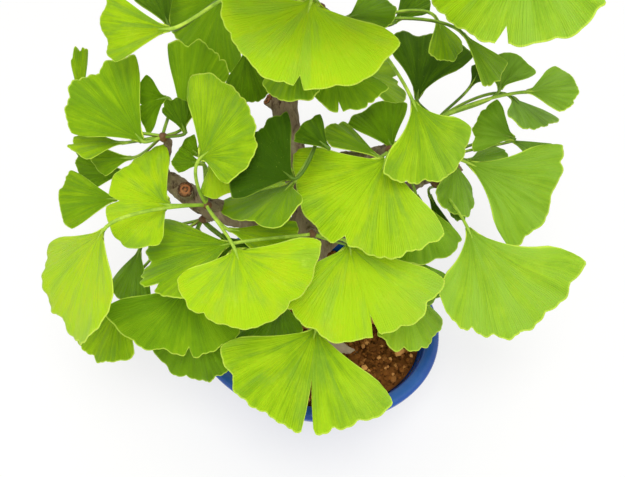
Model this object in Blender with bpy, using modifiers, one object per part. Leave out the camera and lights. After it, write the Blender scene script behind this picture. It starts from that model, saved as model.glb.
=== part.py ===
"""Ginkgo bonsai in a glazed oval pot, in metres, +Z up.

The origin is under the middle of the pot, on the surface that it stands on, and +X runs along the pot's
long side. Each leaf is placed by where its stalk joint, its tip and its two corners lie along
lines of sight, with a height for the joint and for the tip; leaves out of sight follow a rule.
"""
import math
import random
from collections import namedtuple

import bmesh
import bpy
from mathutils import Vector, noise

# Pot: outer half sizes at the rim and at the foot, and heights
RIM_HALF = Vector((0.063, 0.053))
FOOT_HALF = Vector((0.035, 0.025))
POT_HEIGHT = 0.050
LIP_WIDTH = 0.0068
LIP_CROWN = 0.0024
LIP_DROP = 0.0058
LIP_UNDERCUT = 0.0009
NECK_INSET = 0.0052
NECK_DROP = 0.0012
BELLY_INSET = 0.0145
BELLY_HEIGHT = 0.026
WALL = 0.0048
FLOOR_TOP = 0.0105
FLOOR_BOTTOM = 0.0055
FLOOR_ROUND = 0.0042
POT_SIDES = 40
FOOT_RADIUS = 0.0060
FOOT_TAPER = 0.86
FOOT_SINK = 0.0020
FOOT_PLACE = (0.0215, 0.0125)
DRAIN_RADIUS = 0.0055
DRAIN_PLACE = 0.014
DRAIN_CUT = 0.020
NET_SIZE = 0.015
NET_CELLS = 5
NET_THICKNESS = 0.0008

# Soil: its edge lies below the rim, and it rises to the trunk
GAP = 0.0003
SOIL_EDGE_HEIGHT = 0.0432
SOIL_RISE = 0.0030
SOIL_ROUGHNESS = 0.0011
SOIL_RINGS = 6

# Trunk and branches
TRUNK_SUNK = 0.022
TWIG_TIP = 0.0013
STALK_RADIUS = 0.00066
STALK_SINK = 0.0035
BUD_RADIUS = 0.0021

# Leaf blades
BLADE_THICKNESS = 0.0007
BLADE_COLUMNS = 12
SMALL_REACH = 0.020
SMALL_COLUMNS = 8
BLADE_ROWS = 2
BLADE_REACHES = (0.0, 0.44, 1.0)
CORNER = 0.92
WAVE = 0.035
BANK_STEP = math.radians(5.0)
BANK_STEPS = 9
BANK_COST = 0.012

# Leaves set round a bud: how far the blades hang, their half spread in degrees and their seeded differences
RING_FALL = 0.42
RING_SPREAD = (52, 62)
RING_JITTER = 0.12
RING_WAIST = 0.80

# Sight lines: the picture's size, the lens in pixels, the eye and the way it looks
PICTURE = Vector((625, 477))
LENS = 900.0
EYE = Vector((0.09629, -0.20510, 0.42431))
LOOK_AZIMUTH = math.radians(25.0)
LOOK_ELEVATION = math.radians(54.0)

# waist: how wide the fan starts at the stalk, as a share of its full angle
Leaf = namedtuple("Leaf", "apex tip side other_side notches waist", defaults=((), 0.92))
Spray = namedtuple("Spray", "bud twig leaves")


def sight(x, y, height):
    """The point at a height that is seen at pixel x, y."""
    back = Vector((math.sin(LOOK_AZIMUTH) * math.cos(LOOK_ELEVATION),
                   -math.cos(LOOK_AZIMUTH) * math.cos(LOOK_ELEVATION),
                   math.sin(LOOK_ELEVATION)))
    right = Vector((math.cos(LOOK_AZIMUTH), math.sin(LOOK_AZIMUTH), 0.0))
    up = back.cross(right)
    ray = right * (x - PICTURE.x / 2) / LENS - up * (y - PICTURE.y / 2) / LENS - back
    return EYE + ray * (height - EYE.z) / ray.z


# The trunk's line, as points with a radius, from the soil to the top
TRUNK = (
    (Vector((0.0126, -0.0115, TRUNK_SUNK)), 0.0078),
    (Vector((0.0126, -0.0115, 0.0440)), 0.0084),
    (Vector((0.0118, -0.0108, 0.0520)), 0.0076),
    (Vector((0.0080, -0.0078, 0.0760)), 0.0066),
    (Vector((0.0030, -0.0030, 0.1010)), 0.0060),
    (Vector((-0.0015, 0.0005, 0.1220)), 0.0062),
    (Vector((-0.0078, 0.0036, 0.1480)), 0.0054),
    (Vector((-0.0136, 0.0062, 0.1800)), 0.0049),
    (Vector((-0.0136, 0.0114, 0.2000)), 0.0046),
    (Vector((-0.0140, 0.0190, 0.2200)), 0.0042),
    (Vector((-0.0125, 0.0230, 0.2360)), 0.0032),
    (Vector((-0.0090, 0.0240, 0.2500)), 0.0024),
)

# Branches: points with a radius. The first point lies inside the trunk.
BRANCHES = {
    "left": (
        (Vector((-0.0010, -0.0005, 0.1180)), 0.0044),
        (Vector((-0.0150, -0.0100, 0.1270)), 0.0042),
        (Vector((-0.0290, -0.0200, 0.1380)), 0.0047),
        (Vector((-0.0405, -0.0225, 0.1440)), 0.0046),
        (Vector((-0.0510, -0.0210, 0.1470)), 0.0040),
        (Vector((-0.0580, -0.0180, 0.1460)), 0.0030),
        (Vector((-0.0560, -0.0125, 0.1600)), 0.0020),
    ),
    "right": (
        (Vector((0.0025, -0.0020, 0.1050)), 0.0040),
        (Vector((0.0130, 0.0120, 0.1160)), 0.0034),
        (Vector((0.0250, 0.0280, 0.1230)), 0.0030),
        (Vector((0.0370, 0.0410, 0.1270)), 0.0024),
        (Vector((0.0480, 0.0480, 0.1290)), 0.0019),
    ),
    "upper_right": (
        (Vector((-0.0076, 0.0048, 0.1500)), 0.0034),
        (Vector((0.0040, 0.0130, 0.1520)), 0.0028),
        (Vector((0.0180, 0.0230, 0.1530)), 0.0024),
        (Vector((0.0270, 0.0340, 0.1520)), 0.0019),
        (Vector((0.0335, 0.0410, 0.1515)), 0.0017),
    ),
    "top_right": (
        (Vector((-0.0140, 0.0210, 0.2260)), 0.0028),
        (Vector((0.0020, 0.0250, 0.2330)), 0.0022),
        (Vector((0.0200, 0.0290, 0.2360)), 0.0017),
    ),
    "top_left": (
        (Vector((-0.0130, 0.0160, 0.2100)), 0.0028),
        (Vector((-0.0240, 0.0165, 0.2130)), 0.0022),
        (Vector((-0.0320, 0.0155, 0.2150)), 0.0018),
    ),
    "back": (
        (Vector((-0.0070, 0.0042, 0.1420)), 0.0032),
        (Vector((-0.0165, 0.0195, 0.1500)), 0.0026),
        (Vector((-0.0255, 0.0330, 0.1560)), 0.0019),
    ),
}

# Pruned stubs: start inside the wood, cut end, radius
STUBS = (
    (Vector((-0.0425, -0.0220, 0.1450)), Vector((-0.0410, -0.0270, 0.1545)), 0.0034),
    (Vector((-0.0120, 0.0070, 0.1780)), Vector((-0.0195, 0.0035, 0.1850)), 0.0028),
    (Vector((0.0050, -0.0050, 0.0900)), Vector((0.0125, -0.0100, 0.0945)), 0.0030),
)

# Sprays that the picture shows. bud: where the stalks start. twig: where its short twig leaves the wood.
SPRAYS = {
    "leaves_left": Spray(sight(207, 205, 0.1500), Vector((-0.0290, -0.0200, 0.1400)), (
        Leaf((168, 205, 0.1545), (107, 198, 0.1510), (163, 144), (157, 246), ((0.02, 0.20, 0.05),)),
        Leaf((103, 231, 0.1590), (56, 319, 0.1220), (115, 298), (45, 246)),
        Leaf((235, 250, 0.1500), (262, 324, 0.1310), (177, 282), (321, 243)),
        Leaf((201, 158, 0.1760), (253, 118, 0.1890), (190, 73), (231, 184)),
        Leaf((214, 158, 0.1670), (223, 197, 0.1610), (200, 193), (244, 173)),
        Leaf((230, 230, 0.1410), (299, 242, 0.1350), (296, 222), (268, 264)),
        Leaf((200, 156, 0.1630), (183, 142, 0.1640), (178, 154), (194, 134)),
        Leaf((202, 164, 0.1640), (172, 160, 0.1650), (178, 172), (182, 148)),
    )),
    "leaves_left_low": Spray(sight(204, 219, 0.1340), Vector((-0.0250, -0.0170, 0.1370)), (
        Leaf((190, 284, 0.1120), (182, 356, 0.0960), (103, 312), (240, 333), ((0.10, 0.15, 0.06),)),
        Leaf((197, 230, 0.1310), (206, 264, 0.1260), (176, 246), (232, 250)),
        Leaf((140, 250, 0.1090), (126, 303, 0.0970), (112, 280), (150, 298)),
        Leaf((123, 300, 0.0940), (101, 362, 0.0820), (74, 334), (133, 354)),
        Leaf((195, 318, 0.0900), (205, 381, 0.0760), (155, 350), (238, 362)),
        Leaf((283, 300, 0.0980), (257, 343, 0.0880), (226, 338), (302, 332)),
        Leaf((222, 236, 0.1270), (248, 264, 0.1170), (218, 262), (266, 246)),
    )),
    "leaves_front": Spray(sight(312, 234, 0.1420), Vector((-0.0005, -0.0005, 0.1190)), (
        Leaf((350, 246, 0.1360), (359, 341, 0.1160), (276, 291), (445, 283), ((0.16, 0.24, 0.03),), 1.0),
        Leaf((316, 330, 0.1040), (290, 428, 0.0860), (221, 349), (392, 405), ((0.16, 0.50, 0.05),)),
        Leaf((230, 244, 0.1460), (143, 266, 0.1310), (165, 220), (184, 297), ((0.42, 0.12, 0.06),)),
        Leaf((398, 282, 0.0980), (411, 351, 0.0840), (377, 336), (444, 320)),
        Leaf((412, 258, 0.1100), (434, 304, 0.1000), (408, 292), (450, 280)),
    )),
    "leaves_left_tip": Spray(sight(163, 137, 0.1680), Vector((-0.0560, -0.0125, 0.1600)), (
        Leaf((142, 141, 0.1690), (82, 77, 0.1780), (135, 57), (70, 130)),
        Leaf((165, 98, 0.1640), (137, 104, 0.1640), (146, 75), (148, 135), ((0.05, 0.16, 0.10),)),
        Leaf((83, 110, 0.1600), (80, 47, 0.1700), (71, 64), (88, 50)),
        Leaf((130, 158, 0.1480), (92, 158, 0.1440), (90, 144), (104, 176)),
        Leaf((183, 127, 0.1650), (207, 45, 0.1810), (168, 42), (229, 76)),
        Leaf((185, 132, 0.1710), (172, 98, 0.1750), (162, 112), (188, 102)),
        Leaf((122, 143, 0.1590), (70, 146, 0.1580), (80, 131), (90, 157)),
    )),
    "leaves_left_back": Spray(sight(150, 172, 0.1430), Vector((-0.0560, -0.0180, 0.1480)), (
        Leaf((116, 199, 0.1380), (58, 200, 0.1320), (70, 170), (72, 229)),
        Leaf((124, 172, 0.1340), (76, 166, 0.1300), (76, 146), (86, 192)),
    )),
    "leaves_upper_left": Spray(sight(240, -5, 0.2180), Vector((-0.0320, 0.0155, 0.2150)), (
        Leaf((169, 29, 0.2080), (101, 30, 0.2020), (108, -8), (115, 62)),
        Leaf((168, 25, 0.1880), (150, -30, 0.1920), (134, 0), (176, -25)),
        Leaf((225, -8, 0.1900), (185, 52, 0.1680), (163, 5), (240, 70)),
        Leaf((246, 50, 0.1830), (250, 102, 0.1710), (226, 84), (276, 92)),
    )),
    "leaves_top_front": Spray(sight(320, 8, 0.2240), Vector((-0.0132, 0.0170, 0.2150)), (
        Leaf((311, 2, 0.2320), (288, 86, 0.2150), (221, -6), (400, 46), ((0.08, 0.16, 0.04),)),
        Leaf((303, 46, 0.2120), (291, 103, 0.2020), (262, 82), (320, 92)),
        Leaf((330, 56, 0.2020), (352, 111, 0.1900), (315, 97), (389, 88), ((-0.25, 0.20, 0.05),)),
        Leaf((348, 18, 0.2080), (395, 8, 0.2080), (367, -10), (376, 29)),
    )),
    "leaves_upper_right": Spray(sight(352, 24, 0.1960), Vector((-0.0121, 0.0110, 0.1960)), (
        Leaf((413, 102, 0.1860), (443, 178, 0.1680), (384, 174), (471, 129), (), 0.70),
        Leaf((437, 20, 0.1900), (449, 61, 0.1830), (428, 54), (463, 42)),
        Leaf((464, 35, 0.1900), (499, 81, 0.1790), (484, 85), (507, 64)),
        Leaf((395, 22, 0.1840), (424, -6, 0.1850), (405, -14), (430, 12)),
    )),
    "leaves_centre": Spray(sight(316, 141, 0.1800), Vector((-0.0110, 0.0065, 0.1720)), (
        Leaf((292, 178, 0.1740), (245, 144, 0.1790), (232, 198), (286, 111)),
        Leaf((292, 184, 0.1690), (256, 224, 0.1590), (217, 204), (302, 204)),
        Leaf((328, 148, 0.1840), (300, 126, 0.1890), (293, 141), (320, 114)),
    )),
    "leaves_right_centre": Spray(sight(390, 150, 0.1650), Vector((0.0180, 0.0230, 0.1530)), (
        Leaf((386, 160, 0.1690), (352, 251, 0.1480), (293, 153), (444, 236), ((-0.10, 0.12, 0.05),)),
        Leaf((378, 157, 0.1640), (324, 129, 0.1660), (331, 147), (345, 121)),
        Leaf((392, 148, 0.1650), (372, 104, 0.1690), (348, 124), (407, 103)),
        Leaf((416, 196, 0.1300), (428, 264, 0.1130), (384, 250), (461, 240)),
    )),
    "leaves_right_back": Spray(sight(436, 121, 0.1600), Vector((0.0335, 0.0410, 0.1515)), (
        Leaf((417, 98, 0.1600), (430, 33, 0.1680), (387, 38), (474, 54), (), 0.70),
        Leaf((500, 88, 0.1660), (504, 52, 0.1710), (478, 62), (536, 72)),
        Leaf((528, 92, 0.1680), (578, 92, 0.1720), (556, 66), (560, 112)),
        Leaf((512, 98, 0.1580), (538, 128, 0.1520), (508, 118), (560, 118)),
        Leaf((472, 84, 0.1600), (484, 64, 0.1640), (472, 66), (496, 78)),
    )),
    "leaves_right": Spray(sight(452, 158, 0.1320), Vector((0.0480, 0.0480, 0.1290)), (
        Leaf((468, 163, 0.1340), (551, 204, 0.1210), (562, 146), (512, 248), (), 0.70),
        Leaf((513, 138, 0.1410), (474, 126, 0.1440), (474, 151), (496, 100)),
        Leaf((512, 141, 0.1260), (560, 155, 0.1240), (550, 143), (544, 172)),
        Leaf((470, 160, 0.1240), (509, 158, 0.1220), (488, 142), (496, 174)),
    )),
    "leaves_right_front": Spray(sight(436, 184, 0.1280), Vector((0.0370, 0.0410, 0.1270)), (
        Leaf((468, 229, 0.1360), (515, 335, 0.1160), (440, 297), (586, 264), (), 0.70),
        Leaf((455, 164, 0.1360), (464, 216, 0.1250), (434, 194), (474, 190)),
        Leaf((440, 190, 0.1080), (464, 221, 0.1020), (452, 216), (470, 212)),
        Leaf((430, 196, 0.1040), (452, 244, 0.0940), (434, 236), (462, 240)),
    )),
    "leaves_top_right": Spray(Vector((0.0255, 0.0302, 0.2400)), Vector((0.0200, 0.0290, 0.2360)), (
        Leaf((528, -56, 0.2340), (508, 46, 0.2160), (429, -8), (606, 6), ((-0.05, 0.16, 0.05),)),
    )),
}

# Leaves out of the picture, set round a bud. bearing, turn: degrees. rise: slope of the stalks.
Ring = namedtuple("Ring", "bud twig count bearing turn stalk reach rise seed")
RINGS = {
    "leaves_top_right": Ring(Vector((0.0255, 0.0302, 0.2400)), Vector((0.0200, 0.0290, 0.2360)),
                             2, 62.0, 58.0, 0.024, 0.030, 0.12, 3),
    "leaves_crown": Ring(Vector((-0.0070, 0.0245, 0.2560)), Vector((-0.0090, 0.0240, 0.2500)),
                         5, 80.0, 62.0, 0.022, 0.029, 0.28, 5),
    "leaves_back": Ring(Vector((-0.0275, 0.0390, 0.1600)), Vector((-0.0255, 0.0330, 0.1560)),
                        4, 48.0, 36.0, 0.025, 0.030, -0.02, 7),
    "leaves_back_low": Ring(Vector((0.0020, 0.0085, 0.1000)), Vector((0.0040, -0.0040, 0.0960)),
                            3, 62.0, 42.0, 0.030, 0.030, -0.20, 9),
}


def clear_scene():
    for thing in list(bpy.data.objects):
        bpy.data.objects.remove(thing, do_unlink=True)
    for group in list(bpy.data.collections):
        bpy.data.collections.remove(group)


def new_collection(name):
    group = bpy.data.collections.new(name)
    bpy.context.scene.collection.children.link(group)
    return group


def material(name, colour, roughness):
    made = bpy.data.materials.new(name)
    made.use_nodes = True
    shader = made.node_tree.nodes["Principled BSDF"]
    shader.inputs["Base Color"].default_value = (*colour, 1.0)
    shader.inputs["Roughness"].default_value = roughness
    return made


def add_object(name, mesh, group, surface=None):
    made = bpy.data.objects.new(name, mesh)
    group.objects.link(made)
    if surface:
        mesh.materials.append(surface)
    return made


def mesh_from(name, bm):
    mesh = bpy.data.meshes.new(name)
    bm.to_mesh(mesh)
    bm.free()
    return mesh


def shade_round(mesh):
    mesh.shade_smooth()
    mesh.set_sharp_from_angle(angle=math.radians(45))


def evaluated_mesh(thing):
    depsgraph = bpy.context.evaluated_depsgraph_get()
    return bpy.data.meshes.new_from_object(thing.evaluated_get(depsgraph))


def tube_mesh(name, points, resolution):
    """A capped tube through points with radii, as a welded mesh."""
    curve = bpy.data.curves.new(name, "CURVE")
    curve.dimensions = "3D"
    curve.bevel_depth = 1.0
    curve.bevel_resolution = resolution
    curve.use_fill_caps = True
    spline = curve.splines.new("POLY")
    spline.points.add(len(points) - 1)
    for slot, (place, radius) in zip(spline.points, points):
        slot.co = (*place, 1.0)
        slot.radius = radius
    thing = bpy.data.objects.new(name, curve)
    bpy.context.scene.collection.objects.link(thing)
    mesh = evaluated_mesh(thing)
    bpy.data.objects.remove(thing, do_unlink=True)
    bpy.data.curves.remove(curve)
    bm = bmesh.new()
    bm.from_mesh(mesh)
    bmesh.ops.remove_doubles(bm, verts=bm.verts, dist=1e-6)
    bmesh.ops.recalc_face_normals(bm, faces=bm.faces)
    bm.to_mesh(mesh)
    bm.free()
    return mesh


def joined(name, meshes, group, surface, solver="EXACT"):
    """One body from overlapping solids, by a Boolean union on a collection."""
    pieces = bpy.data.collections.new(name + "_pieces")
    bpy.context.scene.collection.children.link(pieces)
    first = bpy.data.objects.new(name + "_first", meshes[0])
    bpy.context.scene.collection.objects.link(first)
    for index, mesh in enumerate(meshes[1:]):
        pieces.objects.link(bpy.data.objects.new(f"{name}_{index}", mesh))
    union = first.modifiers.new("union", "BOOLEAN")
    union.operation = "UNION"
    union.operand_type = "COLLECTION"
    union.collection = pieces
    union.solver = solver
    result = evaluated_mesh(first)
    for thing in list(pieces.objects) + [first]:
        bpy.data.objects.remove(thing, do_unlink=True)
    bpy.data.collections.remove(pieces)
    result.name = name
    result.materials.clear()
    shade_round(result)
    return add_object(name, result, group, surface)


def cut(thing, cutter):
    boolean = thing.modifiers.new("cut", "BOOLEAN")
    boolean.operation = "DIFFERENCE"
    boolean.object = cutter
    boolean.solver = "EXACT"


def cutter_object(name, mesh, group):
    made = add_object(name, mesh, group)
    made.hide_render = True
    made.display_type = "WIRE"
    return made


def oval_ring(bm, half, height):
    """Vertices of an oval at a height."""
    turns = [2 * math.pi * step / POT_SIDES for step in range(POT_SIDES)]
    return [bm.verts.new((half.x * math.cos(turn), half.y * math.sin(turn), height)) for turn in turns]


def bridge(bm, low, high):
    count = len(low)
    for step in range(count):
        after = (step + 1) % count
        bm.faces.new((low[step], low[after], high[after], high[step]))


def inset(half, amount):
    """An oval's half sizes moved in by the same amount all round."""
    return half - Vector((amount, amount))


def lip_arc(degrees):
    """The lip's round top: 0 degrees is its outer side and 180 its inner side."""
    turn = math.radians(degrees)
    across = LIP_WIDTH / 2 * (1 - math.cos(turn))
    return inset(RIM_HALF, across), POT_HEIGHT - LIP_CROWN * (1 - math.sin(turn))


def pot_section():
    """Half sizes and heights down the outside, from the lip's top to the base, and up the inside."""
    lip_low = POT_HEIGHT - LIP_DROP
    neck = (inset(RIM_HALF, NECK_INSET), lip_low - NECK_DROP)
    belly = (inset(RIM_HALF, BELLY_INSET), BELLY_HEIGHT)
    outside = [
        lip_arc(90),
        lip_arc(45),
        lip_arc(0),
        (inset(RIM_HALF, LIP_UNDERCUT), lip_low),
        neck,
        belly,
        (inset(FOOT_HALF, -FLOOR_ROUND), FLOOR_TOP),
        (FOOT_HALF, FLOOR_BOTTOM),
    ]
    inside = [
        (inset(FOOT_HALF, WALL), FLOOR_TOP),
        (inset(FOOT_HALF, WALL - FLOOR_ROUND), FLOOR_TOP + FLOOR_ROUND),
        (inset(belly[0], WALL), BELLY_HEIGHT),
        (inset(neck[0], WALL - NECK_DROP), neck[1]),
        lip_arc(180),
        lip_arc(135),
    ]
    return outside, inside


def cone_mesh(name, place, low_radius, high_radius, depth):
    """An upright round solid whose lower end stands at a place."""
    bm = bmesh.new()
    made = bmesh.ops.create_cone(bm, cap_ends=True, segments=16, radius1=low_radius, radius2=high_radius,
                                 depth=depth)
    bmesh.ops.translate(bm, verts=made["verts"], vec=(place[0], place[1], place[2] + depth / 2))
    return mesh_from(name, bm)


def build_pot(group, cutters, surface):
    bm = bmesh.new()
    outside, inside = pot_section()
    rings = [oval_ring(bm, half, height) for half, height in outside + inside]
    base, floor = rings[len(outside) - 1], rings[len(outside)]
    for high, low in zip(rings, rings[1:] + rings[:1]):
        if high is not base:
            bridge(bm, low, high)
    bm.faces.new(list(reversed(base)))
    bm.faces.new(floor)
    bmesh.ops.triangulate(bm, faces=[f for f in bm.faces if len(f.verts) > 4])
    bmesh.ops.recalc_face_normals(bm, faces=bm.faces)
    feet = [cone_mesh("foot", (FOOT_PLACE[0] * side, FOOT_PLACE[1] * end, 0.0),
                      FOOT_RADIUS * FOOT_TAPER, FOOT_RADIUS, FLOOR_BOTTOM + FOOT_SINK)
            for side in (-1, 1) for end in (-1, 1)]
    pot = joined("pot", [mesh_from("pot_body", bm)] + feet, group, surface)
    for side in (-1, 1):
        drain = cone_mesh("drain", (DRAIN_PLACE * side, 0.0, FLOOR_TOP - DRAIN_CUT / 2),
                          DRAIN_RADIUS, DRAIN_RADIUS, DRAIN_CUT)
        cut(pot, cutter_object(f"drain_cutter_{side}", drain, cutters))


def build_nets(group, surface):
    """A square of net over each drain hole."""
    for side, name in ((-1, "drain_net_left"), (1, "drain_net_right")):
        bm = bmesh.new()
        bmesh.ops.create_grid(bm, x_segments=NET_CELLS, y_segments=NET_CELLS, size=NET_SIZE / 2)
        cell = NET_SIZE / NET_CELLS
        holes = [f for f in bm.faces if round(f.calc_center_median().x / cell) % 2
                 and round(f.calc_center_median().y / cell) % 2]
        bmesh.ops.delete(bm, geom=holes, context="FACES")
        net = add_object(name, mesh_from(name, bm), group, surface)
        net.location = (DRAIN_PLACE * side, 0, FLOOR_TOP + GAP)
        solid = net.modifiers.new("solid", "SOLIDIFY")
        solid.thickness = NET_THICKNESS
        solid.offset = 1.0


def soil_height(x, y):
    """The soil's surface: a low mound towards the trunk, with the relief of coarse grains."""
    reach = math.hypot(x / (RIM_HALF.x - LIP_WIDTH), y / (RIM_HALF.y - LIP_WIDTH))
    grains = noise.noise(Vector((x, y, 0.4)) * 260) + 0.6 * noise.noise(Vector((x, y, 2.7)) * 610)
    return SOIL_EDGE_HEIGHT + SOIL_RISE * max(0.0, 1 - reach * reach) + SOIL_ROUGHNESS * grains


def build_soil(group, cutters, surface):
    """The filling: its sides follow the pot's inside, a gap away, and its top is in rings."""
    bm = bmesh.new()
    floor, floor_round, belly, neck = pot_section()[1][:4]
    edge = inset(neck[0], GAP)
    top = []
    for ring in range(SOIL_RINGS, 0, -1):
        made = oval_ring(bm, edge * ring / SOIL_RINGS, SOIL_EDGE_HEIGHT)
        if ring < SOIL_RINGS:
            for vert in made:
                vert.co.z = soil_height(vert.co.x, vert.co.y)
        top.append(made)
    for outer, inner in zip(top, top[1:]):
        bridge(bm, outer, inner)
    centre = bm.verts.new((0, 0, soil_height(0, 0)))
    for step in range(POT_SIDES):
        bm.faces.new((top[-1][step], top[-1][(step + 1) % POT_SIDES], centre))
    side_gap = 2 * GAP
    above = top[0]
    for half, height in ((belly[0], belly[1]), (floor_round[0], floor_round[1] + GAP),
                         (floor[0], FLOOR_TOP + NET_THICKNESS + 2 * GAP)):
        low = oval_ring(bm, inset(half, side_gap), height)
        bridge(bm, low, above)
        above = low
    bm.faces.new(list(reversed(above)))
    bmesh.ops.triangulate(bm, faces=[f for f in bm.faces if len(f.verts) > 4])
    bmesh.ops.recalc_face_normals(bm, faces=bm.faces)
    soil = add_object("soil", mesh_from("soil", bm), group, surface)
    foot = TRUNK[0][0] - Vector((0, 0, GAP))
    hole = [(place, radius + GAP * 1.5) for place, radius in ((foot, TRUNK[0][1]),) + TRUNK[1:4]]
    cut(soil, cutter_object("trunk_hole", tube_mesh("trunk_hole", hole, 4), cutters))


def twig_points(bud, twig):
    """A short spur from the wood to just short of the bud."""
    away = (bud - twig).normalized()
    end = bud - away * (BUD_RADIUS + GAP)
    middle = twig.lerp(end, 0.55)
    return [(twig, TWIG_TIP * 1.25), (middle, TWIG_TIP * 1.05), (end, TWIG_TIP * 1.3)]


def build_wood(group, surface):
    meshes = [tube_mesh("trunk", smooth_line(TRUNK, 2), 3)]
    for name, line in BRANCHES.items():
        meshes.append(tube_mesh(name, smooth_line(line, 2), 2))
    for start, end, radius in STUBS:
        meshes.append(tube_mesh("stub", [(start, radius), (end, radius * 0.95)], 2))
    for _, bud, twig, _ in spray_blades():
        meshes.append(tube_mesh("twig", twig_points(bud, twig), 1))
    return joined("trunk_and_branches", meshes, group, surface)


def smooth_line(line, steps):
    """More points along a Catmull-Rom curve through the given ones."""
    points = [place for place, _ in line]
    radii = [radius for _, radius in line]
    ends = [points[0] * 2 - points[1]] + points + [points[-1] * 2 - points[-2]]
    result = []
    for index in range(len(points) - 1):
        a, b, c, d = ends[index:index + 4]
        for step in range(steps):
            t = step / steps
            place = (b * 2 + (c - a) * t + (a * 2 - b * 5 + c * 4 - d) * t ** 2
                     + (b * 3 - a - c * 3 + d) * t ** 3) / 2
            result.append((place, radii[index] + (radii[index + 1] - radii[index]) * t))
    result.append((points[-1], radii[-1]))
    return result


class Blade:
    """One leaf's place and form: its plane, its reach at the tip and corners, its notches and waves."""

    def __init__(self, apex, tip, side_axis, low, high, notches, waist, seed):
        self.apex = apex
        self.reach = (tip - apex).length
        self.along = (tip - apex).normalized()
        self.side = (side_axis - self.along * side_axis.dot(self.along)).normalized()
        self.normal = self.along.cross(self.side)
        if self.normal.z < 0:
            self.side = -self.side
            self.normal = -self.normal
            low, high = (-high[0], high[1]), (-low[0], low[1])
        self.low, self.high = low, high
        self.notches = notches
        self.waist = waist
        self.phase = random.Random(seed).uniform(0, 2 * math.pi)

    def angle(self, u):
        corner = self.low[0] if u < 0 else self.high[0]
        return corner * abs(u) / CORNER

    def margin(self, u):
        """Reach of the outer edge at u, from -1 at one side to 1 at the other."""
        corner = self.low[1] if u < 0 else self.high[1]
        share = min(1.0, abs(u) / CORNER)
        reach = self.reach + (corner - self.reach) * share ** 1.7
        reach *= 1 + 0.022 * math.sin(9.0 * u + self.phase) * (1 - share ** 4)
        if abs(u) > CORNER:
            reach *= 1 - 0.24 * ((abs(u) - CORNER) / (1 - CORNER)) ** 2
        for place, depth, width in self.notches:
            reach *= 1 - depth * max(0.0, 1 - abs(u - place) / width) ** 0.8
        return reach

    def point(self, u, v):
        """A point of the blade's middle surface: v is 0 at the stalk and 1 at the outer edge."""
        narrow = self.waist + (1 - self.waist) * min(1.0, v / 0.85) ** 1.3
        angle = self.angle(u) * narrow
        reach = self.margin(u) * v
        flat = self.apex + self.along * reach * math.cos(angle) + self.side * reach * math.sin(angle)
        lift = WAVE * v * v * math.sin(5.2 * u + self.phase)
        lift += 0.10 * v * (1 - v) * (1 - 0.5 * abs(u))
        return flat + self.normal * self.reach * lift


def blade_from_picks(leaf, seed):
    """A blade from its lines of sight, turned about its middle so that its sides reach as far as its tip."""
    apex = sight(*leaf.apex)
    tip = sight(*leaf.tip)
    along = (tip - apex).normalized()
    level = Vector((0, 0, 1)).cross(along).normalized()
    steep = along.cross(level)
    best = None
    for step in range(-BANK_STEPS, BANK_STEPS + 1):
        turn = BANK_STEP * step
        side = level * math.cos(turn) + steep * math.sin(turn)
        normal = along.cross(side)
        corners = []
        for pick in (leaf.side, leaf.other_side):
            ray = sight(*pick, 0.0) - EYE
            depth = (apex - EYE).dot(normal) / ray.dot(normal)
            offset = EYE + ray * depth - apex
            corners.append((math.atan2(offset.dot(side), offset.dot(along)), offset.length))
        corners.sort()
        reach = (tip - apex).length
        uneven = sum(abs(math.log(length / reach)) for _, length in corners) + BANK_COST * abs(step) ** 1.3
        if best is None or uneven < best[0]:
            best = (uneven, side, corners)
    _, side, corners = best
    return Blade(apex, tip, side, corners[0], corners[1], leaf.notches, leaf.waist, seed)


def ring_blades(ring):
    """Blades that stand round a bud by a fixed turn, with small seeded differences."""
    draw = random.Random(ring.seed)

    def vary(middle, share):
        return middle * draw.uniform(1 - share, 1 + share)

    blades = []
    for index in range(ring.count):
        bearing = math.radians(ring.bearing + ring.turn * index + draw.uniform(-6, 6))
        rise = ring.rise + draw.uniform(-RING_JITTER, RING_JITTER) + 0.16 * (index % 2)
        out = Vector((math.cos(bearing), math.sin(bearing), rise)).normalized()
        apex = ring.bud + out * vary(ring.stalk, 0.1)
        fall = Vector((math.cos(bearing), math.sin(bearing), rise - RING_FALL)).normalized()
        tip = apex + fall * vary(ring.reach, 0.08)
        across = Vector((-math.sin(bearing), math.cos(bearing), draw.uniform(-0.2, 0.2)))
        spread = math.radians(draw.uniform(*RING_SPREAD))
        reach = vary(ring.reach * 0.96, 0.04)
        notch = ((draw.uniform(-0.15, 0.15), draw.uniform(0.1, 0.3), 0.05),)
        blades.append(Blade(apex, tip, across, (-spread, reach), (spread, reach), notch, RING_WAIST,
                            ring.seed * 10 + index))
    return blades


def spray_blades():
    """Every spray's name, bud, twig start and blades."""
    result = []
    for name, spray in SPRAYS.items():
        blades = [blade_from_picks(leaf, 31 * index + len(name)) for index, leaf in enumerate(spray.leaves)]
        result.append((name, spray.bud, spray.twig, blades))
    for name, ring in RINGS.items():
        started = [blades for known, _, _, blades in result if known == name]
        if started:
            started[0].extend(ring_blades(ring))
        else:
            result.append((name, ring.bud, ring.twig, ring_blades(ring)))
    return result


def blade_columns(blade):
    """Even steps across the blade, fewer on a small one, with three of them moved to each notch."""
    count = BLADE_COLUMNS if blade.reach > SMALL_REACH else SMALL_COLUMNS
    columns = [-1 + 2 * step / count for step in range(count + 1)]
    for place, _, width in blade.notches:
        nearest = min(range(2, count - 1), key=lambda index: abs(columns[index] - place))
        columns[nearest - 1:nearest + 2] = [place - width, place, place + width]
    return columns


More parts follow.
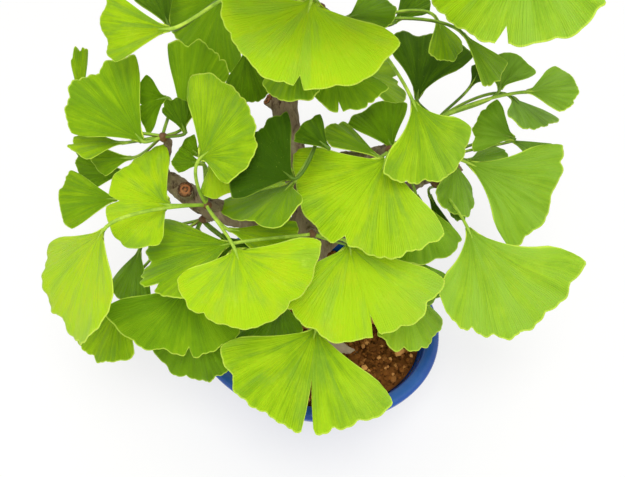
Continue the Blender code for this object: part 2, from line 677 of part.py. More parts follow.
def blade_mesh(blade):
    """A thin fan: a grid bent to the blade's surface, gathered at the stalk and coarser half way out."""
    bm = bmesh.new()
    columns = blade_columns(blade)
    last = len(columns) - 1
    bmesh.ops.create_grid(bm, x_segments=last, y_segments=BLADE_ROWS, size=1.0)
    for vert in bm.verts:
        column = round((vert.co.x + 1) / 2 * last)
        row = round((vert.co.y + 1) / 2 * BLADE_ROWS)
        if row == 1 and column % 2:
            column += 1 if column < last // 2 else -1
        vert.co = blade.point(columns[column], BLADE_REACHES[row])
    bmesh.ops.remove_doubles(bm, verts=bm.verts, dist=1e-6)
    bmesh.ops.triangulate(bm, faces=bm.faces)
    bmesh.ops.recalc_face_normals(bm, faces=bm.faces)
    mesh = mesh_from("blade", bm)
    thing = bpy.data.objects.new("blade", mesh)
    bpy.context.scene.collection.objects.link(thing)
    solid = thing.modifiers.new("solid", "SOLIDIFY")
    solid.thickness = BLADE_THICKNESS
    solid.offset = 0.0
    result = evaluated_mesh(thing)
    bpy.data.objects.remove(thing, do_unlink=True)
    return result


def stalk_line(bud, twig, blade, steps=3):
    """The stalk leaves the bud away from its twig and meets the blade along its middle."""
    length = (blade.apex - bud).length
    away = (bud - twig).normalized()
    start = bud + (away * 0.6 + (blade.apex - bud).normalized() * 0.4) * length * 0.22
    end = blade.apex - blade.along * length * 0.25
    points = []
    for step in range(steps + 1):
        t = step / steps
        place = (bud * (1 - t) ** 3 + start * 3 * t * (1 - t) ** 2
                 + end * 3 * t * t * (1 - t) + blade.apex * t ** 3)
        points.append((place, STALK_RADIUS))
    points.append((blade.apex + blade.along * STALK_SINK, STALK_RADIUS * 0.8))
    return points


def build_sprays(group, surface):
    for name, bud, twig, blades in spray_blades():
        bm = bmesh.new()
        made = bmesh.ops.create_uvsphere(bm, u_segments=6, v_segments=4, radius=BUD_RADIUS)
        bmesh.ops.translate(bm, verts=made["verts"], vec=bud)
        meshes = [mesh_from("bud", bm)]
        for blade in blades:
            meshes.append(tube_mesh("stalk", stalk_line(bud, twig, blade), 0))
            meshes.append(blade_mesh(blade))
        joined(name, meshes, group, surface)


def main():
    clear_scene()
    parts = new_collection("ginkgo_bonsai")
    cutters = new_collection("cutters")
    glaze = material("blue_glaze", (0.045, 0.16, 0.42), 0.12)
    earth = material("soil", (0.13, 0.055, 0.025), 0.95)
    bark = material("bark", (0.26, 0.19, 0.14), 0.85)
    leaf = material("leaf", (0.36, 0.62, 0.04), 0.45)
    net = material("net", (0.03, 0.03, 0.03), 0.5)
    build_pot(parts, cutters, glaze)
    build_nets(parts, net)
    build_soil(parts, cutters, earth)
    build_wood(parts, bark)
    build_sprays(parts, leaf)


main()
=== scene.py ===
"""Ginkgo bonsai: the finished look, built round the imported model, in metres with +Z up.

The leaves, the wood, the soil and the pot repeat the lines of the solids at a finer scale and add what the solids
leave out: the scalloped and clefted leaf margins, fan veins, bark, spur rings, bud scales, the roots' flare, loose
grains of soil and the glaze.
"""
import math
import random
from collections import namedtuple

import bmesh
import bpy
from bpy.props import FloatProperty, FloatVectorProperty, IntProperty, PointerProperty
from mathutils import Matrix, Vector, noise


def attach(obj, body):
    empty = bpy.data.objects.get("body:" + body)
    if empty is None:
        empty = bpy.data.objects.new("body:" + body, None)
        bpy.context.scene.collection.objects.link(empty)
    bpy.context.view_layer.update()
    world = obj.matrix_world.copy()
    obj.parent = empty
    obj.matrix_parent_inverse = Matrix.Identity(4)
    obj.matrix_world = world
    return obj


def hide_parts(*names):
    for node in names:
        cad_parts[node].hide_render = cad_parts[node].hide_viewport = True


bl_info = {
    "name": "Ginkgo Bonsai",
    "version": (1, 0, 0),
    "blender": (4, 5, 0),
    "location": "3D Viewport > Sidebar > Ginkgo",
    "description": "Builds a ginkgo bonsai in a glazed oval pot",
    "category": "Add Mesh",
}

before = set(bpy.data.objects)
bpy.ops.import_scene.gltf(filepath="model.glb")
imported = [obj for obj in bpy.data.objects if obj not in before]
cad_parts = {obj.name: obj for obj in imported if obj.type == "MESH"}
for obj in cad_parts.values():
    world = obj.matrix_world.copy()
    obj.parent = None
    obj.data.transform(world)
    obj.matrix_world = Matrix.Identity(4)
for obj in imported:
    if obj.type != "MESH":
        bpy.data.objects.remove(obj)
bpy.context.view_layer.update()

# Pot section
RIM_HALF = Vector((0.063, 0.053))
FOOT_HALF = Vector((0.035, 0.025))
POT_HEIGHT = 0.050
LIP_WIDTH = 0.0068
LIP_CROWN = 0.0024
LIP_DROP = 0.0058
LIP_UNDERCUT = 0.0009
NECK_INSET = 0.0052
NECK_DROP = 0.0012
BELLY_INSET = 0.0145
BELLY_HEIGHT = 0.026
WALL = 0.0048
FLOOR_TOP = 0.0105
FLOOR_BOTTOM = 0.0055
FLOOR_ROUND = 0.0042
FOOT_RADIUS = 0.0060
FOOT_TAPER = 0.86
FOOT_SINK = 0.0020
FOOT_PLACE = (0.0215, 0.0125)
DRAIN_RADIUS = 0.0055
DRAIN_PLACE = 0.014
DRAIN_CUT = 0.020
NET_THICKNESS = 0.0008
POT_STEPS = 144
WALL_STEPS = 6
LIP_STEP = 15
CONE_SIDES = 40
CONE_BEVEL = 0.0005
SHARP_ANGLE = math.radians(50)
POOL_LIFT = (1.7, 1.45, 1.25)

# Soil
GAP = 0.0003
SOIL_EDGE_HEIGHT = 0.0432
SOIL_RISE = 0.0030
SOIL_ROUGHNESS = 0.0011
SOIL_RINGS = 26
BED_DROP = 0.0006
BED_MARK = 0.001
GRAIN_MARGIN = 0.0004
GRAIN_BATCH = 120
GRAIN_SEED = 61

# Wood
TWIG_TIP = 0.0013
TWIG_SIDES = 10
TWIG_STEPS = 14
SPUR_RING_STEP = 0.0013
SPUR_RING_SWELL = 0.13
STUB_TAPER = 0.95
CUT_SLOPE = 0.55
BARK_VOXEL = 0.00062
BARK_SMOOTHINGS = 3
BARK_STRETCH = 0.28
RIDGE_SCALE = 330
FLECK_SCALE = 900
TUBE_SIDES = 20
TUBE_STEPS = 6
ROOTS = 6
ROOT_SEED = 23
ROOT_HEIGHTS = (0.068, 0.050)

# Leaves
STALK_RADIUS = 0.00066
STALK_SINK = 0.0050
STALK_STEPS = 15
STALK_SIDES = 8
BUD_RADIUS = 0.0021
BUD_SIDES = 14
BUD_STEPS = 18
BLADE_COLUMNS = 96
BLADE_ROWS = 13
BLADE_START = 0.012
CORNER = 0.92
WAVE = 0.035
PLEAT = 0.0035
RUFFLE = 0.018
SCALLOP = 0.066
LOBE_SIZE = 0.0058
FLARE = 0.0022
NECK = 0.0009
BANK_STEP = math.radians(5.0)
BANK_STEPS = 9
BANK_COST = 0.012
RING_FALL = 0.42
RING_SPREAD = (52, 62)
RING_JITTER = 0.12
RING_STAGGER = 0.16
RING_WAIST = 0.80
VEINS = 3.0
# Painted sheen: where along X the pale tint on the leaves of the right side starts and where it is full.
PAINTED_SHEEN_SIDE = (0.034, 0.064)
LEAF_LAYERS = ("fan_u", "fan_v", "tone")

# Stage
FLOOR_HALF = 60.0
KEY_PLACE = Vector((0.22, -0.42, 1.25))
KEY_AIM = Vector((0.0, 0.0, 0.12))
KEY_SIZE = 0.55
KEY_COLOUR = (1.0, 0.99, 0.97)

# Sight lines: the picture's size, the lens in pixels, the eye and the way it looks
PICTURE = Vector((625, 477))
LENS = 900.0
SENSOR = 36.0
EYE = Vector((0.09629, -0.20510, 0.42431))
LOOK_AZIMUTH = math.radians(25.0)
LOOK_ELEVATION = math.radians(54.0)

# tone: from 0, dark, to about 1, bright. It is partly the leaves' own differing green and partly painted shade: leaves
# that lie in the shade of others or face away from the light have a low tone. notches: where across the blade, depth
# and half width, as shares.
# waist: how wide the fan starts at the stalk, as a share of its full angle.
Leaf = namedtuple("Leaf", "apex tip side other_side tone notches waist", defaults=(0.5, (), 0.92))
Spray = namedtuple("Spray", "bud twig leaves")
Ring = namedtuple("Ring", "bud twig count bearing turn stalk reach rise seed")


def sight(x, y, height):
    """The point at a height in millimetres that is seen at pixel x, y."""
    back = Vector((math.sin(LOOK_AZIMUTH) * math.cos(LOOK_ELEVATION),
                   -math.cos(LOOK_AZIMUTH) * math.cos(LOOK_ELEVATION),
                   math.sin(LOOK_ELEVATION)))
    right = Vector((math.cos(LOOK_AZIMUTH), math.sin(LOOK_AZIMUTH), 0.0))
    up = back.cross(right)
    ray = right * (x - PICTURE.x / 2) / LENS - up * (y - PICTURE.y / 2) / LENS - back
    return EYE + ray * (height / 1000 - EYE.z) / ray.z


def mm(*sizes):
    """A point from sizes in millimetres."""
    return Vector([size / 1000 for size in sizes])


def wood_line(*rows):
    """Points with a radius, from rows of x, y, z and radius in millimetres."""
    return [(mm(*place), radius / 1000) for *place, radius in rows]


# The trunk's line, from inside the soil to the top
TRUNK = wood_line(
    (12.6, -11.5, 22, 7.8), (12.6, -11.5, 44, 8.4), (11.8, -10.8, 52, 7.6), (8, -7.8, 76, 6.6), (3, -3, 101, 6),
    (-1.5, 0.5, 122, 6.2), (-7.8, 3.6, 148, 5.4), (-13.6, 6.2, 180, 4.9), (-13.6, 11.4, 200, 4.6),
    (-14, 19, 220, 4.2), (-12.5, 23, 236, 3.2), (-9, 24, 250, 2.4))

# Branches. The first point of each lies inside the trunk.
BRANCHES = {
    "left": wood_line(
        (-1, -0.5, 118, 4.4), (-15, -10, 127, 4.2), (-29, -20, 138, 4.7), (-40.5, -22.5, 144, 4.6),
        (-51, -21, 147, 4), (-58, -18, 146, 3), (-56, -12.5, 160, 2)),
    "right": wood_line(
        (2.5, -2, 105, 4), (13, 12, 116, 3.4), (25, 28, 123, 3), (37, 41, 127, 2.4), (48, 48, 129, 1.9)),
    "upper_right": wood_line(
        (-7.6, 4.8, 150, 3.4), (4, 13, 152, 2.8), (18, 23, 153, 2.4), (27, 34, 152, 1.9),
        (33.5, 41, 151.5, 1.7)),
    "top_right": wood_line(
        (-14, 21, 226, 2.8), (2, 25, 233, 2.2), (20, 29, 236, 1.7)),
    "top_left": wood_line(
        (-13, 16, 210, 2.8), (-24, 16.5, 213, 2.2), (-32, 15.5, 215, 1.8)),
    "back": wood_line(
        (-7, 4.2, 142, 3.2), (-16.5, 19.5, 150, 2.6), (-25.5, 33, 156, 1.9)),
}

# Pruned stubs: start inside the wood, cut end, radius
STUBS = (
    (mm(-42.5, -22, 145), mm(-41, -27, 154.5), 0.0034),
    (mm(-12, 7, 178), mm(-19.5, 3.5, 185), 0.0028),
    (mm(5, -5, 90), mm(12.5, -10, 94.5), 0.0030),
)

# Sprays that the picture shows. bud: where the stalks start. twig: where its short twig leaves the wood.
SPRAYS = {
    "leaves_left": Spray(sight(207, 205, 150), mm(-29, -20, 140), (
        Leaf((168, 205, 154.5), (107, 198, 151), (163, 144), (157, 246), 0.84, ((0.02, 0.20, 0.05),)),
        Leaf((103, 231, 159), (56, 319, 122), (115, 298), (45, 246), 1),
        Leaf((235, 250, 150), (262, 324, 131), (177, 282), (321, 243), 0.92),
        Leaf((201, 158, 176), (253, 118, 189), (190, 73), (231, 184), 0.60),
        Leaf((214, 158, 167), (223, 197, 161), (200, 193), (244, 173), 0.8),
        Leaf((230, 230, 141), (299, 242, 135), (296, 222), (268, 264), 0.7),
        Leaf((200, 156, 163), (183, 142, 164), (178, 154), (194, 134), 0.3),
        Leaf((202, 164, 164), (172, 160, 165), (178, 172), (182, 148), 0.3),
    )),
    "leaves_left_low": Spray(sight(204, 219, 134), mm(-25, -17, 137), (
        Leaf((190, 284, 112), (182, 356, 96), (103, 312), (240, 333), 0.42, ((0.10, 0.15, 0.06),)),
        Leaf((197, 230, 131), (206, 264, 126), (176, 246), (232, 250), 0.1),
        Leaf((140, 250, 109), (126, 303, 97), (112, 280), (150, 298), 0.3),
        Leaf((123, 300, 94), (101, 362, 82), (74, 334), (133, 354), 0.6),
        Leaf((195, 318, 90), (205, 381, 76), (155, 350), (238, 362), 0.3),
        Leaf((283, 300, 98), (257, 343, 88), (226, 338), (302, 332), 0.25),
        Leaf((222, 236, 127), (248, 264, 117), (218, 262), (266, 246), 0.15),
    )),
    "leaves_front": Spray(sight(312, 234, 142), mm(-0.5, -0.5, 119), (
        Leaf((350, 246, 136), (359, 341, 116), (276, 291), (445, 283), 1, ((0.16, 0.24, 0.03),), 1.0),
        Leaf((316, 330, 104), (290, 428, 86), (221, 349), (392, 405), 0.68, ((0.16, 0.50, 0.05),)),
        Leaf((230, 244, 146), (143, 266, 131), (165, 220), (184, 297), 0.62, ((0.42, 0.12, 0.06),)),
        Leaf((398, 282, 98), (411, 351, 84), (377, 336), (444, 320), 0.7),
        Leaf((412, 258, 110), (434, 304, 100), (408, 292), (450, 280), 0.25),
    )),
    "leaves_left_tip": Spray(sight(163, 137, 168), mm(-56, -12.5, 160), (
        Leaf((142, 141, 169), (82, 77, 178), (135, 57), (70, 130), 0.5),
        Leaf((165, 98, 164), (137, 104, 164), (146, 75), (148, 135), 0.38, ((0.05, 0.16, 0.10),)),
        Leaf((83, 110, 160), (80, 47, 170), (71, 64), (88, 50), 0.6),
        Leaf((130, 158, 148), (92, 158, 144), (90, 144), (104, 176), 0.5),
        Leaf((183, 127, 165), (207, 45, 181), (168, 42), (229, 76), 0.45),
        Leaf((185, 132, 171), (172, 98, 175), (162, 112), (188, 102), 0.15),
        Leaf((122, 143, 159), (70, 146, 158), (80, 131), (90, 157), 0.7),
    )),
    "leaves_left_back": Spray(sight(150, 172, 143), mm(-56, -18, 148), (
        Leaf((116, 199, 138), (58, 200, 132), (70, 170), (72, 229), 0.5),
        Leaf((124, 172, 134), (76, 166, 130), (76, 146), (86, 192), 0.3),
    )),
    "leaves_upper_left": Spray(sight(240, -5, 218), mm(-32, 15.5, 215), (
        Leaf((169, 29, 208), (101, 30, 202), (108, -8), (115, 62), 0.74),
        Leaf((168, 25, 188), (150, -30, 192), (134, 0), (176, -25), 0.15),
        Leaf((225, -8, 190), (185, 52, 168), (163, 5), (240, 70), 0.45),
        Leaf((246, 50, 183), (250, 102, 171), (226, 84), (276, 92), 0.25),
    )),
    "leaves_top_front": Spray(sight(320, 8, 224), mm(-13.2, 17, 215), (
        Leaf((311, 2, 232), (288, 86, 215), (221, -6), (400, 46), 1.1, ((0.08, 0.16, 0.04),)),
        Leaf((303, 46, 212), (291, 103, 202), (262, 82), (320, 92), 0.5),
        Leaf((330, 56, 202), (352, 111, 190), (315, 97), (389, 88), 0.45, ((-0.25, 0.20, 0.05),)),
        Leaf((348, 18, 208), (395, 8, 208), (367, -10), (376, 29), 0.3),
    )),
    "leaves_upper_right": Spray(sight(352, 24, 196), mm(-12.1, 11, 196), (
        Leaf((413, 102, 186), (443, 178, 168), (384, 174), (471, 129), 0.62, (), 0.70),
        Leaf((437, 20, 190), (449, 61, 183), (428, 54), (463, 42), 0.6),
        Leaf((464, 35, 190), (499, 81, 179), (484, 85), (507, 64), 0.5),
        Leaf((395, 22, 184), (424, -6, 185), (405, -14), (430, 12), 0.15),
    )),
    "leaves_centre": Spray(sight(316, 141, 180), mm(-11, 6.5, 172), (
        Leaf((292, 178, 174), (245, 144, 179), (232, 198), (286, 111), 0),
        Leaf((292, 184, 169), (256, 224, 159), (217, 204), (302, 204), 0.5),
        Leaf((328, 148, 184), (300, 126, 189), (293, 141), (320, 114), 0.1),
    )),
    "leaves_right_centre": Spray(sight(390, 150, 165), mm(18, 23, 153), (
        Leaf((386, 160, 169), (352, 251, 148), (293, 153), (444, 236), 0.78, ((-0.10, 0.12, 0.05),)),
        Leaf((378, 157, 164), (324, 129, 166), (331, 147), (345, 121), 0.5),
        Leaf((392, 148, 165), (372, 104, 169), (348, 124), (407, 103), 0.3),
        Leaf((416, 196, 130), (428, 264, 113), (384, 250), (461, 240), 0.5),
    )),
    "leaves_right_back": Spray(sight(436, 121, 160), mm(33.5, 41, 151.5), (
        Leaf((417, 98, 160), (430, 33, 168), (387, 38), (474, 54), 0.1, (), 0.70),
        Leaf((500, 88, 166), (504, 52, 171), (478, 62), (536, 72), 0.3),
        Leaf((528, 92, 168), (578, 92, 172), (556, 66), (560, 112), 0.5),
        Leaf((512, 98, 158), (538, 128, 152), (508, 118), (560, 118), 0.35),
        Leaf((472, 84, 160), (484, 64, 164), (472, 66), (496, 78), 0.1),
    )),
    "leaves_right": Spray(sight(452, 158, 132), mm(48, 48, 129), (
        Leaf((468, 163, 134), (551, 204, 121), (562, 146), (512, 248), 0.6, (), 0.70),
        Leaf((513, 138, 141), (474, 126, 144), (474, 151), (496, 100), 0.45),
        Leaf((512, 141, 126), (560, 155, 124), (550, 143), (544, 172), 0.3),
        Leaf((470, 160, 124), (509, 158, 122), (488, 142), (496, 174), 0.5),
    )),
    "leaves_right_front": Spray(sight(436, 184, 128), mm(37, 41, 127), (
        Leaf((468, 229, 136), (515, 335, 116), (440, 297), (586, 264), 0.75, (), 0.70),
        Leaf((455, 164, 136), (464, 216, 125), (434, 194), (474, 190), 0.35),
        Leaf((440, 190, 108), (464, 221, 102), (452, 216), (470, 212), 0.12),
        Leaf((430, 196, 104), (452, 244, 94), (434, 236), (462, 240), 0.12),
    )),
    "leaves_top_right": Spray(mm(25.5, 30.2, 240), mm(20, 29, 236), (
        Leaf((528, -56, 234), (508, 46, 216), (429, -8), (606, 6), 0.7, ((-0.05, 0.16, 0.05),)),
    )),
}

# Leaves out of the picture, set round a bud. bearing, turn: degrees. rise: slope of the stalks.
RINGS = {
    "leaves_top_right": Ring(mm(25.5, 30.2, 240), mm(20, 29, 236), 2, 62.0, 58.0, 0.024, 0.030, 0.12, 3),
    "leaves_crown": Ring(mm(-7, 24.5, 256), mm(-9, 24, 250), 5, 80.0, 62.0, 0.022, 0.029, 0.28, 5),
    "leaves_back": Ring(mm(-27.5, 39, 160), mm(-25.5, 33, 156), 4, 48.0, 36.0, 0.025, 0.030, -0.02, 7),
    "leaves_back_low": Ring(mm(2, 8.5, 100), mm(4, -4, 96), 3, 62.0, 42.0, 0.030, 0.030, -0.20, 9),
}


# Settings

def tint(name, what, red, green, blue):
    return FloatVectorProperty(name=name, description=f"Colour of {what}", subtype="COLOR", size=3,
                               default=(red, green, blue))


class GinkgoLeafSettings(bpy.types.PropertyGroup):
    """Sizes and colours of the leaves."""
    thickness: FloatProperty(name="Thickness", description="Thickness of a blade", default=0.00036, unit="LENGTH")
    # Dark, middle and bright are mixed by each leaf's tone, which is partly painted shade.
    dark: tint("Dark", "the darkest leaves", 0.042, 0.108, 0.001)
    middle: tint("Middle", "middling leaves", 0.168, 0.335, 0.002)
    bright: tint("Bright", "the brightest leaves", 0.390, 0.620, 0.006)
    yellow: tint("Yellow", "the yellow patches", 0.480, 0.620, 0.008)
    # Painted sheen: a pale milky tint laid on the leaves of the right side and in cool bands on brighter leaves,
    # standing in for their sheen.
    painted_sheen: tint("Sheen", "the painted leaf sheen on one side of the tree", 0.260, 0.470, 0.050)
    margin: tint("Margin", "the thin pale margin", 0.600, 0.800, 0.085)
    stalk: tint("Stalk", "the stalks", 0.240, 0.430, 0.030)
    bud: tint("Bud", "the buds", 0.150, 0.066, 0.024)
    pale_bud: tint("Pale bud", "the edges of the bud scales", 0.340, 0.240, 0.090)


class GinkgoPotSettings(bpy.types.PropertyGroup):
    """Colours of the pot and its drain nets."""
    glaze: tint("Glaze", "the glaze", 0.002, 0.054, 0.300)
    # Thin glaze and painted sheen: lighter blue on the lip's crown, partly glaze thinning there and partly the sheen
    # along the lip; it also colours the fine specks.
    thin_glaze_and_sheen: tint("Thin glaze", "the glaze where it is thin on edges", 0.100, 0.210, 0.450)
    clay: tint("Clay", "the bare clay under the feet", 0.330, 0.190, 0.115)
    net: tint("Net", "the drain nets", 0.020, 0.020, 0.020)
    grime: tint("Grime", "the grime on the drain nets", 0.100, 0.070, 0.050)


class GinkgoSoilSettings(bpy.types.PropertyGroup):
    """Grains and colours of the soil."""
    crumbs: IntProperty(name="Crumbs", description="Number of small dark crumbs", default=3600, min=0)
    grains: IntProperty(name="Grains", description="Number of larger grains", default=1500, min=0)
    dark: tint("Dark", "the dark crumbs", 0.078, 0.026, 0.004)
    brown: tint("Brown", "most grains", 0.262, 0.092, 0.018)
    tan: tint("Tan", "the light grains", 0.860, 0.410, 0.130)


class GinkgoWoodSettings(bpy.types.PropertyGroup):
    """Relief and colours of the wood."""
    relief: FloatProperty(name="Relief", description="Depth of the bark's furrows", default=0.00045, unit="LENGTH")
    bark: tint("Bark", "the bark", 0.235, 0.168, 0.098)
    furrow: tint("Furrow", "the furrows", 0.050, 0.024, 0.012)
    pale: tint("Pale", "the pale flakes", 0.440, 0.380, 0.240)
    root: tint("Root", "the pale bark at the foot", 0.560, 0.430, 0.310)
    cut: tint("Cut", "the pruned ends", 0.330, 0.110, 0.032)
    pale_cut: tint("Pale cut", "the pale patches of the pruned ends", 0.420, 0.200, 0.075)


class GinkgoStageSettings(bpy.types.PropertyGroup):
    """Floor and light."""
    floor: tint("Floor", "the floor", 0.36, 0.36, 0.36)
    glow: FloatProperty(name="Glow", description="Light that the lit studio floor gives of itself", default=0.615)
    key: FloatProperty(name="Key light", description="Power of the large soft light above", default=7.5, unit="POWER")
    sky: FloatProperty(name="Sky", description="Strength of the even light all round", default=0.82)


# Meshes

def assign(thing, **values):
    """Sets a thing's attributes and returns it."""
    for key, value in values.items():
        setattr(thing, key, value)
    return thing


def new_object(name, data):
    made = bpy.data.objects.new(name, data)
    bpy.context.scene.collection.objects.link(made)
    return made


def mesh_from(name, bm):
    mesh = bpy.data.meshes.new(name)
    bm.to_mesh(mesh)
    bm.free()
    return mesh


def piece(name, mesh, materials, slot, *nodes):
    """A finished piece: it rides on the one body, stands for its CAD nodes and takes the given materials; the slot is
    not used.
    """
    made = new_object(name, mesh)
    mesh.shade_smooth()
    for surface in materials:
        mesh.materials.append(surface)
    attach(made, "root")
    if nodes:
        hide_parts(*nodes)
    return made


def modified(mesh, kind, *settings):
    """A mesh after one modifier of a kind for each of the settings."""
    thing = new_object("work", mesh)
    for values in settings:
        assign(thing.modifiers.new(kind, kind), **values)
    depsgraph = bpy.context.evaluated_depsgraph_get()
    result = bpy.data.meshes.new_from_object(thing.evaluated_get(depsgraph))
    bpy.data.objects.remove(thing, do_unlink=True)
    return result


def without(mesh, cutters):
    """A mesh with cutter meshes taken out of it."""
    things = [new_object("cutter", cutter) for cutter in cutters]
    result = modified(mesh, "BOOLEAN", *({"operation": "DIFFERENCE", "object": thing, "solver": "EXACT"}
                                         for thing in things))
    for thing in things:
        bpy.data.objects.remove(thing, do_unlink=True)
    return result


def inset(half, amount):
    """An oval's half sizes moved in by the same amount all round."""
    return half - Vector((amount, amount))


def turned_oval(section):
    """A section of half sizes and heights, from one pole to the other, spun round Z into an oval."""
    bm = bmesh.new()
    ratio = bm.verts.layers.float.new("ratio")
    line = []
    for half, height in section:
        line.append(bm.verts.new((half.x, 0.0, height)))
        line[-1][ratio] = half.y / half.x if half.x else 1.0
    edges = [bm.edges.new(pair) for pair in zip(line, line[1:])]
    bmesh.ops.spin(bm, geom=line + edges, axis=(0, 0, 1), cent=(0, 0, 0), steps=POT_STEPS,
                   angle=2 * math.pi, use_merge=True)
    for vert in bm.verts:
        vert.co.y *= vert[ratio]
    bmesh.ops.remove_doubles(bm, verts=bm.verts, dist=1e-6)
    bmesh.ops.recalc_face_normals(bm, faces=bm.faces)
    bm.verts.layers.float.remove(bm.verts.layers.float["ratio"])
    return bm


def spline(a, b, c, d, t):
    """A value between the middle two of four, on a Catmull-Rom curve."""
    return (b * (2 * t ** 3 - 3 * t ** 2 + 1) + (c - a) * 0.5 * (t ** 3 - 2 * t ** 2 + t)
            + c * (3 * t ** 2 - 2 * t ** 3) + (d - b) * 0.5 * (t ** 3 - t ** 2))


def smooth_line(line, steps):
    """More points along a Catmull-Rom curve through points that have a radius."""
    points = [place for place, _ in line]
    ends = [points[0] * 2 - points[1], *points, points[-1] * 2 - points[-2]]
    result = []
    for index in range(len(points) - 1):
        for t in (step / steps for step in range(steps)):
            radius = line[index][1] * (1 - t) + line[index + 1][1] * t
            result.append((spline(*ends[index:index + 4], t), radius))
    return result + [line[-1]]


def faces_of(verts):
    return list(dict.fromkeys(face for vert in verts for face in vert.link_faces))


def tube(bm, line, sides, material_index=0):
    """Adds a closed round tube along points with a radius and returns its vertices.

    It is a grid rolled up, whose ends draw in to a point.
    """
    before = len(bm.verts)
    rings = [(line[0][0], 0.0), *line, (line[-1][0], 0.0)]
    last = len(rings) - 1
    made = bmesh.ops.create_grid(bm, x_segments=last, y_segments=sides, size=1.0)["verts"]
    frames = []
    side = None
    for index in range(last + 1):
        heading = (rings[min(last, index + 2)][0] - rings[max(0, index - 2)][0]).normalized()
        side = side or heading.orthogonal().normalized()
        side = (side - heading * side.dot(heading)).normalized()
        frames.append((side, heading.cross(side)))
    for vert in made:
        index = round((vert.co.x + 1) / 2 * last)
        turn = (vert.co.y + 1) * math.pi
        out, across = frames[index]
        centre, radius = rings[index]
        vert.co = centre + (out * math.cos(turn) + across * math.sin(turn)) * radius
    for face in faces_of(made):
        face.material_index = material_index
    bmesh.ops.remove_doubles(bm, verts=made, dist=1e-7)
    bm.verts.ensure_lookup_table()
    kept = bm.verts[before:]
    bmesh.ops.recalc_face_normals(bm, faces=faces_of(kept))
    return kept


# Materials

class Value:
    """A node's output. Sums, differences and products with it add nodes to its wire's tree."""

    def __init__(self, wire, socket):
        self.wire = wire
        self.socket = socket

    def __add__(self, other):
        return self.wire.maths("ADD", self, other)

    __radd__ = __add__

    def __sub__(self, other):
        return self.wire.maths("SUBTRACT", self, other)

    def __rsub__(self, other):
        return self.wire.maths("SUBTRACT", other, self)

    def __mul__(self, other):
        return self.wire.maths("MULTIPLY", self, other)

    def spread(self, low, high, new_low=0.0, new_high=1.0):
        """The value taken smoothly from one range to another."""
        inputs = {"Value": self, "From Min": low, "From Max": high, "To Min": new_low, "To Max": new_high}
        return self.wire.node("ShaderNodeMapRange", "Result", inputs, interpolation_type="SMOOTHSTEP")


class Wire:
    """Adds nodes to one node tree and joins them. What goes into a node is a value, a number or a colour."""

    def __init__(self, tree):
        self.tree = tree

    def put(self, socket, value):
        if isinstance(value, Value):
            self.tree.links.new(value.socket, socket)
        else:
            socket.default_value = (*value, 1.0) if socket.type == "RGBA" else value

    def node(self, kind, output, inputs=(), **settings):
        """Adds a node and returns one of its outputs."""
        made = assign(self.tree.nodes.new(kind), **settings)
        for key, value in dict(inputs).items():
            self.put(made.inputs[key], value)
        return Value(self, made.outputs[output])

    def maths(self, operation, *values, clamp=False):
        return self.node("ShaderNodeMath", 0, enumerate(values), operation=operation, use_clamp=clamp)

    def over(self, colour, *layers):
        """Colours laid over a colour, each given as its share and itself."""
        for share, layer in layers:
            colour = self.node("ShaderNodeMix", 2, {"Factor": share, 6: colour, 7: layer}, data_type="RGBA")
        return colour

    def noise(self, scale, detail=4.0, roughness=0.55, vector=None):
        inputs = {"Vector": vector or self.place(), "Scale": scale, "Detail": detail, "Roughness": roughness}
        return self.node("ShaderNodeTexNoise", "Fac", inputs)

    def mottle(self, scale, fineness=9.0, fine_share=0.35, stretch=(1.0, 1.0, 1.0)):
        inputs = {"Vector": self.place(stretch), "Scale": scale, "Fineness": fineness, "Fine share": fine_share}
        return self.node("ShaderNodeGroup", "Mask", inputs, node_tree=mottle_group())

    def place(self, stretch=(1.0, 1.0, 1.0)):
        """Object coordinates, stretched."""
        where = self.node("ShaderNodeTexCoord", "Object")
        return self.node("ShaderNodeMapping", "Vector", {"Vector": where, "Scale": stretch})

    def axis(self, name):
        """One of the object coordinates."""
        return self.node("ShaderNodeSeparateXYZ", name, {"Vector": self.place()})

    def attribute(self, name):
        return self.node("ShaderNodeAttribute", "Fac", attribute_name=name)

    def bump(self, height, distance, strength):
        inputs = {"Height": height, "Distance": distance, "Strength": strength}
        return self.node("ShaderNodeBump", "Normal", inputs)

    def finish(self, **values):
        """Puts values on the shader's own sockets."""
        shader = self.tree.nodes["Principled BSDF"]
        for key, value in values.items():
            self.put(shader.inputs[key.replace("_", " ")], value)


def new_material(name, **constants):
    """A material and its wire, with constants set on its shader."""
    made = bpy.data.materials.new(name)
    made.use_nodes = True
    wire = Wire(made.node_tree)
    wire.finish(**constants)
    return made, wire


def mottle_group():
    """Uneven colour that several finishes use: a soft large pattern and fine specks over it."""
    known = bpy.data.node_groups.get("mottle")
    if known:
        return known
    group = bpy.data.node_groups.new("mottle", "ShaderNodeTree")
    names = ("Vector", "Scale", "Fineness", "Fine share")
    for name in names:
        kind = "NodeSocketVector" if name == "Vector" else "NodeSocketFloat"
        group.interface.new_socket(name, in_out="INPUT", socket_type=kind)
    group.interface.new_socket("Mask", in_out="OUTPUT", socket_type="NodeSocketFloat")
    wire = Wire(group)
    source = group.nodes.new("NodeGroupInput")
    vector, scale, fineness, fine_share = (Value(wire, source.outputs[name]) for name in names)
    large = wire.noise(scale, 3.0, vector=vector)
    fine = wire.noise(scale * fineness, 5.0, 0.7, vector)
    mask = wire.maths("ADD", large, (fine - large) * fine_share, clamp=True)
    wire.put(group.nodes.new("NodeGroupOutput").inputs["Mask"], mask)
    return group


def fan_veins(wire, across, outwards):
    """Veins that fork again and again on their way out: 1 on a vein, 0 between veins."""
    level = wire.maths("MAXIMUM", wire.maths("LOGARITHM", outwards * 16.0, 2.0), 0.0)
    part = wire.maths("FRACT", level).spread(0.25, 0.9)
    turn = across * (wire.maths("POWER", 2.0, wire.maths("FLOOR", level)) * (VEINS * 2 * math.pi))
    coarse, fine = wire.maths("COSINE", turn), wire.maths("COSINE", turn * 2.0)
    return wire.maths("POWER", (coarse * (1.0 - part) + fine * part).spread(-1.0, 1.0), 2.0)


